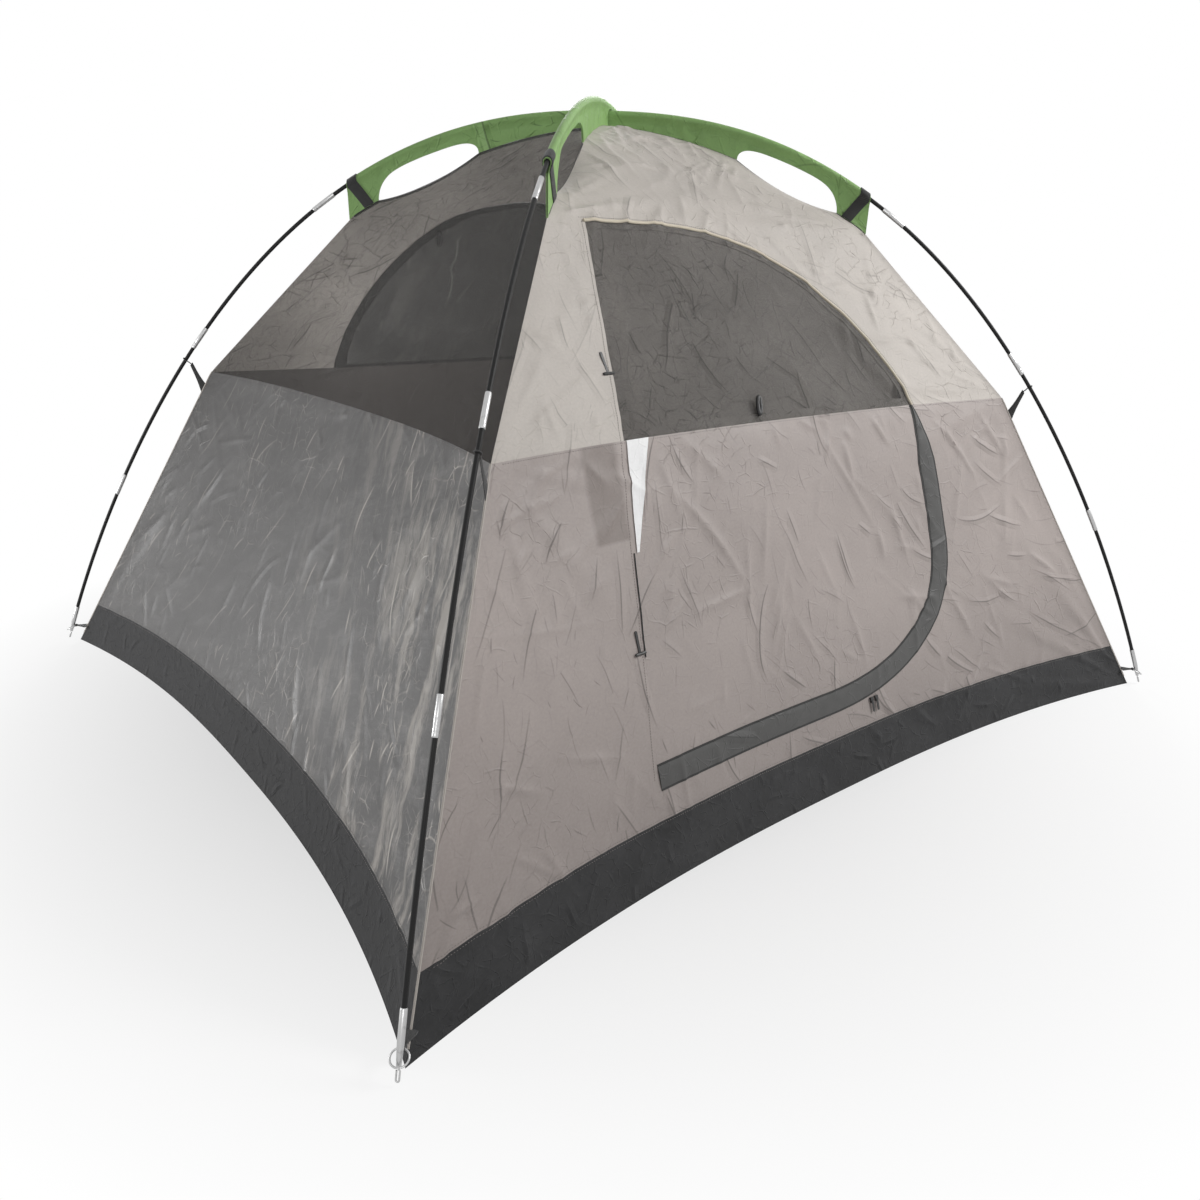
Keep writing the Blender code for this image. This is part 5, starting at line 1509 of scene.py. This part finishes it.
class TENT_OT_poles(bpy.types.Operator):
    """Turn the rods of both poles, with their steel ferrules and tips"""

    bl_idname = "tent.poles"
    bl_label = "Poles"

    def execute(self, context):
        self.sides = context.scene.tent_hardware.round_sides
        for name in POLES:
            self.pole(name)
        return {"FINISHED"}

    def pole(self, name):
        """The sections of a pole, as stations along it: distance, radius, and 1 for steel or 0 for rod."""
        bow = Bow(name)
        joints = [FIRST_JOINT + SECTION_LENGTH * i for i in range(3)]
        tip = bow.at_height(TIP_HEIGHT)
        bore = PIN_RADIUS + GAP
        steel_end = tip + TIP_TAPER + TIP_LENGTH
        foot = [
            (tip + PIN_DEPTH, bore, 1),
            (tip, bore, 1),
            (tip, TIP_END_RADIUS, 1),
            (tip + TIP_TAPER, TIP_RADIUS, 1),
            (steel_end - 0.001, TIP_RADIUS, 1),
            (steel_end, TIP_RADIUS - 0.0006, 1),
            (steel_end, POLE_RADIUS, 0),
        ]
        starts = [foot]
        starts += [[(joint + inset, POLE_RADIUS, 0) for inset in (GAP, FERRULE_HALF)] for joint in joints]
        for end, mirrored in ((POLES[name][0], False), (POLES[name][1], True)):
            for part, start, joint in zip(("lower", "middle", "upper"), starts, joints):
                rod = np.arange(start[-1][0] + 0.02, joint - FERRULE_HALF - 0.01, 0.02)
                stations = start + [(along, POLE_RADIUS, 0) for along in rod] + self.ferrule(joint)
                self.section(f"pole_{end}_{part}", bow, stations, mirrored)
        start = joints[-1] + GAP
        rod = np.linspace(start, bow.length - start, 110)
        self.section(f"pole_{name}_top", bow, [(along, POLE_RADIUS, 0) for along in rod], False)

    def ferrule(self, joint):
        """Stations along a steel tube with rounded lips and two crimped grooves, open at its upper end."""
        low, high = joint - FERRULE_HALF, joint + FERRULE_HALF
        lip, groove = FERRULE_RADIUS - 0.0005, FERRULE_RADIUS - 0.00045
        stations = [(low, POLE_RADIUS, 0), (low, lip, 1), (low + 0.0008, FERRULE_RADIUS, 1)]
        for crimp in (low + 0.008, low + 0.016):
            stations += [(crimp - 0.0016, FERRULE_RADIUS, 1), (crimp, groove, 1)]
            stations += [(crimp + 0.0016, FERRULE_RADIUS, 1)]
        socket = POLE_RADIUS + GAP
        stations += [(high - 0.0008, FERRULE_RADIUS, 1), (high, lip, 1)]
        return stations + [(high, socket, 1), (joint, socket, 1)]

    def section(self, node, bow, stations, mirrored):
        along, radii, steel = (np.array(column) for column in zip(*stations))
        along = bow.length - along if mirrored else along
        frames = zip(*bow.frames(along), radii)
        points, faces = loft([circle(*frame_here, self.sides) for frame_here in frames])
        rows = np.maximum(steel[:-1], steel[1:]).astype(int)
        face_looks = np.concatenate([np.repeat(rows, self.sides), steel[[0, -1]].astype(int)])
        finishes = [look("black_rod"), look("bright_steel")]
        body = outward(piece(f"{node}_rod", points, faces, finishes, face_looks=face_looks))
        settle(body, "tent", node)


class Corner:
    """Places round one pole foot and up its corner seam, in the diagonal plane."""

    def __init__(self, name):
        self.name = name
        self.pole = next(key for key, ends in POLES.items() if name in ends[:2])
        self.bow = Bow(self.pole)
        self.out = CORNERS[name]
        self.side = np.cross(UP, self.out)

    def places(self, reach, height, aside=0.0):
        reach, height, aside = (np.asarray(value, float)[..., None] for value in (reach, height, aside))
        return reach * self.out + height * UP + aside * self.side

    def line(self, along):
        """Point on the pole's middle line, and the direction up the pole, as reach and height."""
        first = CORNERS[POLES[self.pole][0]]
        spots = self.bow.points(np.array([along - 0.004, along, along + 0.004]))
        flat = np.column_stack([spots @ first, spots[:, 2]])
        return flat[1], unit(flat[2] - flat[0])

    def line_at(self, height, further=0.0):
        return self.line(self.bow.at_height(height) + further)


class TENT_OT_feet(bpy.types.Operator):
    """Bend the pins and rings at the pole feet, and sew the webbing that holds them"""

    bl_idname = "tent.feet"
    bl_label = "Pole feet"

    def execute(self, context):
        self.sides = context.scene.tent_hardware.round_sides
        for name in CORNERS:
            corner = Corner(name)
            self.pin(corner)
            self.webbing(corner, self.ring(corner))
        return {"FINISHED"}

    def pin(self, corner):
        """Wire pin in the pole's tip, bent to a long eye below it."""
        tip, _ = corner.line_at(TIP_HEIGHT)
        up = unit(corner.line_at(TIP_HEIGHT, PIN_DEPTH)[0] - tip)
        half = EYE_WIDTH / 2 - PIN_RADIUS
        turn = np.linspace(0, math.pi, 15)
        bend = np.column_stack([half * np.cos(turn), -PIN_NECK - EYE_LENGTH + half - half * np.sin(turn)])
        shank = [(0, PIN_DEPTH - GAP), (0, PIN_DEPTH / 2), (0, -PIN_NECK), (half, -PIN_NECK - half)]
        path = np.vstack([shank, bend, [(-half, -PIN_NECK - half)]])
        flat = tip + np.multiply.outer(path[:, 1], up)
        form = tube(corner.places(flat[:, 0], flat[:, 1], path[:, 0]), PIN_RADIUS, self.sides)
        node = f"pin_{corner.name}"
        solid_piece(f"{node}_wire", form, "bright_steel", "tent", node)

    def ring(self, corner):
        """The steel ring round the pole's foot. Returns the place where the webbing grips it."""
        middle, _ = corner.line_at(RING_HEIGHT)
        down = np.array((math.sin(RING_TILT), -math.cos(RING_TILT)))
        turn = np.linspace(0, 2 * math.pi, 56, endpoint=False)
        flat = middle + np.multiply.outer(RING_RADIUS * np.cos(turn), down)
        path = corner.places(flat[:, 0], flat[:, 1], RING_RADIUS * np.sin(turn))
        form = tube(path, RING_WIRE, self.sides, closed=True)
        node = f"ring_{corner.name}"
        solid_piece(f"{node}_wire", form, "bright_steel", node, node)
        return middle - down * RING_RADIUS

    def webbing(self, corner, grip):
        """Webbing from the corner of the hem, gathered to a loop round the ring."""
        bow_in_loop = RING_RADIUS - math.sqrt(RING_RADIUS**2 - (LOOP_WIDTH / 2) ** 2)
        hole = RING_WIRE + GAP + bow_in_loop
        outer = hole + LOOP_WALL
        meet = math.asin(WEBBING_HALF / outer)
        turn = np.linspace(math.pi - meet, -math.pi + meet, 40)
        loop = np.column_stack([grip[0] + outer * np.cos(turn), grip[1] + outer * np.sin(turn)])
        levels = [grip[1] - WEBBING_HALF, grip[1] + WEBBING_HALF]
        roots = [(PROFILE.at(PROFILE.girth_at(level))[0] + GAP, level) for level in levels]
        top = spaced([roots[1], loop[0]], 0.004)
        foot = spaced([loop[-1], roots[0]], 0.004)
        turn = np.linspace(0, 2 * math.pi, 40, endpoint=False)
        bore = np.column_stack([grip[0] + hole * np.cos(turn), grip[1] + hole * np.sin(turn)])
        rim = np.vstack([top, loop[1:-1], foot])
        spots = np.vstack([rim, bore])
        reach, level = spots.T
        narrow = grip[0] - outer
        width = WEBBING_WIDTH + (LOOP_WIDTH - WEBBING_WIDTH) * smooth(reach, roots[1][0], narrow)
        slices = []
        for share in np.linspace(-1, 1, 7):
            pinch = 0.0003 * abs(share) ** 6
            pinched = level + np.where(reach < narrow, -np.sign(level - grip[1]) * pinch, 0)
            slices.append(corner.places(reach, pinched, share * width / 2))
        edges = [(i, (i + 1) % len(rim)) for i in range(len(rim))]
        edges += [(len(rim) + i, len(rim) + (i + 1) % len(bore)) for i in range(len(bore))]
        caps = delaunay_2d_cdt([Vector(spot) for spot in spots.tolist()], edges, [], 0, 1e-9)[2]
        keep = [face for face in caps if self.in_strap(spots[list(face)].mean(0), rim, bore)]
        count = len(spots)
        faces = []
        for row in range(len(slices) - 1):
            low, high = row * count, (row + 1) * count
            faces += [(low + a, low + b, high + b, high + a) for a, b in edges]
        last = (len(slices) - 1) * count
        faces += [tuple(reversed(face)) for face in keep] + [tuple(last + i for i in face) for face in keep]
        strap = piece(f"webbing_{corner.name}_strap", np.vstack(slices), faces, look("black_webbing"))
        recalculated(strap)
        settle(strap, "tent", f"webbing_{corner.name}")

    def in_strap(self, spot, rim, bore):
        return bool(inside(spot[None], rim)[0]) and not bool(inside(spot[None], bore)[0])


class TENT_OT_hooks(bpy.types.Operator):
    """Bend the hooks half way up the poles, and sew the tabs that hold them to the corner seams"""

    bl_idname = "tent.hooks"
    bl_label = "Hooks and tabs"

    def execute(self, context):
        self.sides = context.scene.tent_hardware.round_sides
        for name in CORNERS:
            corner = Corner(name)
            middle, up = corner.line(HOOK_ALONG)
            inward = np.array((-up[1], up[0]))
            inward = inward if inward[0] < 0 else -inward
            turn = POLE_RADIUS + GAP + HOOK_WIRE
            end = middle + inward * (turn + HOOK_SHANK)
            angle = np.linspace(math.radians(28), HOOK_WRAP, 30)
            shank = [end, middle + inward * (turn + HOOK_SHANK / 2)]
            flat = np.vstack([shank, middle + np.multiply.outer(turn * np.cos(angle), inward)])
            aside = np.concatenate([[0, 0], turn * np.sin(angle)])
            form = tube(corner.places(flat[:, 0], flat[:, 1], aside), HOOK_WIRE, self.sides)
            solid_piece(f"hook_{name}_wire", form, "black_plastic", "tent", f"hook_{name}")
            self.tab(corner, end + inward * GAP, up)
        return {"FINISHED"}

    def tab(self, corner, tip, up):
        """Webbing from the corner seam to the hook, a little narrower half way."""
        levels = np.linspace(TAB_HEIGHT - TAB_ROOT / 2, TAB_HEIGHT + TAB_ROOT / 2, 5)
        root = np.array([PROFILE.at(PROFILE.girth_at(level)) for level in levels]) + (GAP, 0)
        head = tip + np.multiply.outer(np.linspace(-1, 1, 5) * TAB_TIP / 2, up)
        rings = []
        for share in np.linspace(0, 1, 9):
            row = root + (head - root) * share
            waist = row.mean(0) + (row - row.mean(0)) * (1 - 0.22 * math.sin(math.pi * share))
            half = TAB_THICKNESS / 2 * np.array((0.55, 1, 1, 1, 0.55))
            front = corner.places(waist[:, 0], waist[:, 1], half)
            back = corner.places(waist[:, 0], waist[:, 1], -half)
            rings.append(np.vstack([front, back[::-1]]))
        node = f"tab_{corner.name}"
        solid_piece(f"{node}_strap", loft(rings), "black_webbing", "tent", node)


class Sleeve:
    """A fold of cloth over a pole, closed to a fin below it and sewn to the ridge of the roof."""

    ARC = np.radians(np.linspace(0, 130, 10))
    FIN = np.linspace(0, 1, 8)

    def __init__(self, pole):
        first, _, self.top = POLES[pole]
        self.over = pole == "a"
        self.seed = 3.0 if self.over else 9.0
        self.out = CORNERS[first]
        self.side = np.cross(UP, self.out)
        self.crossing = CROSSING_ROOM * SLEEVE_OUTER + 2 * SLEEVE_CLOTH

    def foot(self, reach):
        """Height of the fin's lower edge: on the ridge, round the cut-out, or over the other sleeve."""
        reach = abs(reach)
        ridge = float(PROFILE.height_at_reach(reach)) + GAP
        middle = float(bow_height(reach, self.top))
        share = 2 * (reach - CUTOUT_INNER) / (CUTOUT_OUTER - CUTOUT_INNER) - 1
        if abs(share) < 1:
            return ridge + (middle - SLEEVE_STRIP - ridge) * (1 - abs(share) ** CUTOUT_ROUND) ** 0.5
        if self.over and reach < self.crossing:
            return POLE_TOP - CROSS_DROP + SLEEVE_OUTER + GAP
        return ridge

    def section(self, reach, layer):
        """One side of the fold from its top to its foot, at a layer above the inner face."""
        reach = abs(reach)
        nip = 0.006
        slope = float(bow_height(reach + nip, self.top) - bow_height(abs(reach - nip), self.top)) / (2 * nip)
        stretch = math.hypot(1, slope)
        middle = float(bow_height(reach, self.top))
        radius = SLEEVE_INNER + layer
        foot = self.foot(reach)
        fin = SLEEVE_SLIT / 2 + layer
        wrapped = POLE_RADIUS * stretch + GAP
        neck = max(middle - SLEEVE_NECK * stretch, (foot + middle - wrapped) / 2)
        arc = np.column_stack([radius * np.sin(self.ARC), middle + radius * np.cos(self.ARC) * stretch])
        down = np.column_stack([np.full(len(self.FIN), fin), neck + (foot - neck) * self.FIN])
        return np.vstack([arc, down])

    def places(self, reach, aside, height):
        return reach * self.out + np.multiply.outer(aside, self.side) + np.multiply.outer(height, UP)

    def folds(self, reach, flat):
        """Small sideways folds in the cloth, none where it bears on the pole."""
        height = flat[:, 1] - flat[-1, 1]
        over_pole = 0.0012 * np.linspace(0, 1, len(self.ARC)) ** 2
        amount = np.concatenate([over_pole, np.linspace(0.0058, 0.0018, len(self.FIN))])
        waves = noise_at(np.full(len(flat), reach) + 0.25 * height, height * 0.5 + 0.37, 34.0, self.seed)
        return amount * waves * (1 - smooth(abs(reach), SLEEVE_REACH - 0.1, SLEEVE_REACH - 0.07))

    def ring(self, reach, cloth):
        outer, inner = self.section(reach, cloth), self.section(reach, 0.0)
        shift = self.folds(reach, outer)
        shift = np.column_stack([shift, 0 * shift])
        right, left = outer + shift, outer * (-1, 1) + shift
        right_in, left_in = inner + shift, inner * (-1, 1) + shift
        fold = np.vstack([left[::-1], right[1:], right_in[::-1], left_in[1:]])
        return self.places(reach, fold[:, 0], fold[:, 1])

    def stations(self):
        half = list(np.linspace(0.0, self.crossing * 0.98, 5)) + [self.crossing * 1.02]
        half += list(np.linspace(self.crossing * 1.02, CUTOUT_INNER, 40))[1:]
        middle, reach = (CUTOUT_INNER + CUTOUT_OUTER) / 2, (CUTOUT_OUTER - CUTOUT_INNER) / 2
        half += [middle + reach * math.cos(turn) for turn in np.linspace(math.pi, 0, 56)][1:]
        half += list(np.linspace(CUTOUT_OUTER, SLEEVE_REACH, 14))[1:]
        return [-reach for reach in reversed(half[1:])] + half

    def strap(self, sign):
        """Webbing over a sleeve's end, leaning in to its foot on the ridge, as rings across it."""
        top = SLEEVE_REACH - STRAP_WIDTH / 2 - GAP
        count = len(self.ARC) + len(self.FIN)
        knots = [0, len(self.ARC) - 1, len(self.ARC), count - 1]
        leans = STRAP_LEAN * np.interp(np.arange(count), knots, [0, 0.05, 0.22, 1])
        rings = []
        for side in (-1, 1):
            run = []
            for step in range(count):
                rise = GAP if step == count - 1 else 0
                ring = []
                for edge, layer in ((-1, 0), (1, 0), (1, 0.8), (0.94, 1), (-0.94, 1), (-1, 0.8)):
                    reach = top - leans[step] + edge * STRAP_WIDTH / 2
                    x, z = self.section(reach, SLEEVE_CLOTH + GAP + layer * SLEEVE_CLOTH)[step]
                    ring.append(sign * reach * self.out + side * x * self.side + (z + rise) * UP)
                run.append(np.array(ring))
            rings += list(reversed(run)) if side < 0 else run[1:]
        return rings


class TENT_OT_sleeves(bpy.types.Operator):
    """Sew the green pole sleeves with their cut-outs, and the straps at their ends"""

    bl_idname = "tent.sleeves"
    bl_label = "Pole sleeves"

    def execute(self, context):
        for pole in POLES:
            sleeve = Sleeve(pole)
            stations = sleeve.stations()
            rings = [sleeve.ring(reach, SLEEVE_CLOTH) for reach in stations]
            points, faces = loft(rings)
            along = along_run([ring.mean(0) for ring in rings])
            spots = np.repeat(along, len(rings[0]))
            uv = np.column_stack([spots, np.concatenate([along_run(ring) for ring in rings])])
            body = outward(piece(f"pole_sleeve_{pole}_cloth", points, faces, look("green_cloth"), uv))
            settle(body, "tent", f"pole_sleeve_{pole}")
            for corner, sign in zip(POLES[pole][:2], (1, -1)):
                node = f"sleeve_strap_{corner}"
                form = loft(sleeve.strap(sign))
                solid_piece(f"{node}_webbing", form, "black_webbing", "tent", node)
        return {"FINISHED"}


class TENT_OT_trim(bpy.types.Operator):
    """Sew the piping, and finish the zip sliders and toggles"""

    bl_idname = "tent.trim"
    bl_label = "Piping, zips and toggles"

    def execute(self, context):
        cloth = context.scene.tent_cloth
        arch = evenly(door_upper(0.004)[1:], TAPE_STEP)
        path = FRONT.places(*arch.T, relief(FRONT, cloth).at(*arch.T) + PIPING_LIFT)
        form = tube(path, PIPING_RADIUS, FINE_SIDES)
        solid_piece("door_arch_piping", form, "cream_piping", "tent")
        for name, out in CORNERS.items():
            reach, level = PROFILE.at(np.linspace(HEM * 0.2, BAND, 120))
            path = np.multiply.outer(reach - 0.0004, out) + np.multiply.outer(level, UP)
            form = tube(path, BINDING_RADIUS, FINE_SIDES)
            solid_piece(f"corner_binding_{name}", form, "beige_piping", "tent")
            reach, level = PROFILE.at(np.linspace(EAVE, APEX - 0.02, 120))
            level = level - PROFILE.dip(reach) - RIDGE_DEPTH
            path = np.multiply.outer(reach, out) + np.multiply.outer(level, UP)
            form = tube(path, RIDGE_RADIUS, FINE_SIDES)
            solid_piece(f"ridge_binding_{name}", form, "zip_tape", "tent")
        self.hinge_cord(cloth)
        self.window_pulls(cloth)
        for node in ("door_zip_slider_left", "door_zip_slider_right", "toggle_upper", "toggle_lower"):
            solid = frame["nodes"][node]
            solid.data.materials.clear()
            solid.data.materials.append(look("black_plastic"))
        return {"FINISHED"}

    def hinge_cord(self, cloth):
        """A thin dark tube down the door's hinge seam, from the label to below the lower toggle: the seam's
        painted shadow.
        """
        girth = np.linspace(BAND - LABEL_LENGTH, TOGGLE_GIRTHS[1] - 0.06, 60)
        x = door_hinge_x(girth) - 0.002
        path = FRONT.places(x, girth, relief(FRONT, cloth).at(x, girth) + SEAM_SHADOW_LIFT)
        form = tube(path, SEAM_SHADOW_RADIUS, FINE_SIDES)
        solid_piece("hinge_cord", form, "black_webbing", "tent")

    def window_pulls(self, cloth):
        """A loop of cord on the slider of each window's zip."""
        pulls = (
            ("door_window_pull", FRONT, -0.066, BAND + 0.044, 0.005, "door"),
            ("rear_window_pull", REAR, 0.249, BAND + 0.53, -0.013, "tent"),
        )
        turn = np.linspace(0, 2 * math.pi, 24, endpoint=False)
        for name, wall, x, girth, lift, body in pulls:
            across = x + PULL_HALF_WIDTH * np.cos(turn) + PULL_LEAN * np.sin(turn)
            up = girth + PULL_HALF_LENGTH * np.sin(turn)
            path = wall.places(across, up, relief(wall, cloth).at(across, up) + lift)
            form = tube(path, PULL_WIRE, FINE_SIDES, closed=True)
            solid_piece(name, form, "black_plastic", body)


class TENT_OT_stitches(bpy.types.Operator):
    """Sew rows of stitches beside the seams, and set the zip's teeth round the door's arch"""

    bl_idname = "tent.stitches"
    bl_label = "Stitches and zip teeth"

    def execute(self, context):
        cloth, hardware = context.scene.tent_cloth, context.scene.tent_hardware
        rows = []
        for wall in WALLS.values():
            for girth in (BAND - 0.005, HEM + 0.005, HEM - 0.006):
                half = wall.half_width(girth) - 0.03
                rows.append((wall, [(-half, girth), (half, girth)]))
        rows.append((FRONT, door_upper(0.013)[1:]))
        rows.append((REAR, rear_arch(0.008)))
        hinge = [(float(door_hinge_x(girth)) - 0.009, girth) for girth in (DOOR_SILL, BAND, DOOR_TOP)]
        rows.append((FRONT, hinge))
        runs = [self.row(wall, run, hardware.stitch_pitch, cloth, STITCH_LIFT) for wall, run in rows]
        stitches = self.instances("seam_stitches", runs, STITCH, look("thread"))
        settle(stitches, "tent")
        runs = [self.row(FRONT, door_upper(0.0012)[1:], TOOTH_PITCH, cloth, TOOTH_LIFT)]
        teeth = self.instances("arch_zip_teeth", runs, TOOTH, look("black_plastic"))
        settle(teeth, "tent")
        return {"FINISHED"}

    def row(self, wall, run, pitch, cloth, lift):
        """Places at even distances along a run, with the run's and the wall's directions."""
        flat = evenly(spaced(run, 0.02), pitch)
        places = wall.places(*flat.T, relief(wall, cloth).at(*flat.T) + lift)
        return places, unit(np.gradient(places, axis=0)), wall.normals(*flat.T)

    def instances(self, name, runs, size, finish):
        """A piece with one small rounded bead at each place, turned along its run."""
        places, along, normals = (np.vstack(column) for column in zip(*runs))
        seeds = piece(f"{name}_seeds", places, [], finish, smooth_faces=False)
        for attribute, vectors in (("along", along), ("outward", normals)):
            layer = seeds.data.attributes.new(attribute, "FLOAT_VECTOR", "POINT")
            layer.data.foreach_set("vector", vectors.astype(np.float32).ravel())
        modifier = seeds.modifiers.new("beads", "NODES")
        modifier.node_group, socket = bead_tree(finish)
        modifier[socket] = size
        view = bpy.context.evaluated_depsgraph_get()
        mesh = bpy.data.meshes.new_from_object(seeds.evaluated_get(view))
        seeds.modifiers.clear()
        bpy.data.objects.remove(seeds)
        body = bpy.data.objects.new(name, mesh)
        bpy.context.scene.collection.objects.link(body)
        return body


def bead_tree(finish):
    """Geometry nodes that set a bead at each point, and the name of the input for its half sizes."""
    group = bpy.data.node_groups.new(f"beads_{finish.name}", "GeometryNodeTree")
    group.interface.new_socket("Geometry", in_out="INPUT", socket_type="NodeSocketGeometry")
    size = group.interface.new_socket("Half sizes", in_out="INPUT", socket_type="NodeSocketVector")
    group.interface.new_socket("Geometry", in_out="OUTPUT", socket_type="NodeSocketGeometry")
    tree = Tree(group)
    points = tree.node("NodeGroupInput", {}, {}, "Geometry")
    sizes = tree.node("NodeGroupInput", {}, {}, "Half sizes")
    bead = tree.node("GeometryNodeMeshIcoSphere", {}, {"Radius": 1.0, "Subdivisions": 1}, "Mesh")
    bead = tree.node("GeometryNodeTransform", {}, {"Geometry": bead, "Scale": sizes})
    kind = {"data_type": "FLOAT_VECTOR"}
    along = tree.node("GeometryNodeInputNamedAttribute", kind, {"Name": "along"})
    outwards = tree.node("GeometryNodeInputNamedAttribute", kind, {"Name": "outward"})
    axes = {"primary_axis": "X", "secondary_axis": "Z"}
    turn = tree.node("FunctionNodeAxesToRotation", axes, {"Primary Axis": along, "Secondary Axis": outwards})
    seats = {"Points": points, "Instance": bead, "Rotation": turn}
    beads = tree.node("GeometryNodeInstanceOnPoints", {}, seats)
    real = tree.node("GeometryNodeRealizeInstances", {}, {"Geometry": beads})
    done = tree.node("GeometryNodeSetMaterial", {}, {"Geometry": real, "Material": finish})
    tree.node("NodeGroupOutput", {}, {"Geometry": done}, None)
    return group, size.identifier


class TENT_PT_parts(bpy.types.Panel):
    """Lists the groups of pieces and their settings"""

    bl_idname = "TENT_PT_parts"
    bl_label = "Dome tent"
    bl_space_type = "VIEW_3D"
    bl_region_type = "UI"
    bl_category = "Tent"

    def draw(self, context):
        for operator in OPERATORS:
            self.layout.operator(operator.bl_idname)
        for group in (context.scene.tent_cloth, context.scene.tent_hardware, context.scene.tent_stage):
            box = self.layout.box()
            for name in group.__annotations__:
                box.prop(group, name)


GROUPS = {"tent_cloth": TentCloth, "tent_hardware": TentHardware, "tent_stage": TentStage}
OPERATORS = (
    TENT_OT_stage,
    TENT_OT_floor,
    TENT_OT_walls,
    TENT_OT_door,
    TENT_OT_poles,
    TENT_OT_feet,
    TENT_OT_hooks,
    TENT_OT_sleeves,
    TENT_OT_trim,
    TENT_OT_stitches,
)


def register():
    for group in (*GROUPS.values(), *OPERATORS, TENT_PT_parts):
        bpy.utils.register_class(group)
    for name, group in GROUPS.items():
        setattr(bpy.types.Scene, name, PointerProperty(type=group))


def unregister():
    for name in GROUPS:
        delattr(bpy.types.Scene, name)
    for group in reversed((*GROUPS.values(), *OPERATORS, TENT_PT_parts)):
        bpy.utils.unregister_class(group)


def main():
    register()
    bpy.ops.tent.stage()
    bpy.ops.tent.floor()
    bpy.ops.tent.walls()
    bpy.ops.tent.door()
    bpy.ops.tent.poles()
    bpy.ops.tent.feet()
    bpy.ops.tent.hooks()
    bpy.ops.tent.sleeves()
    bpy.ops.tent.trim()
    bpy.ops.tent.stitches()


if __name__ == "__main__":
    main()
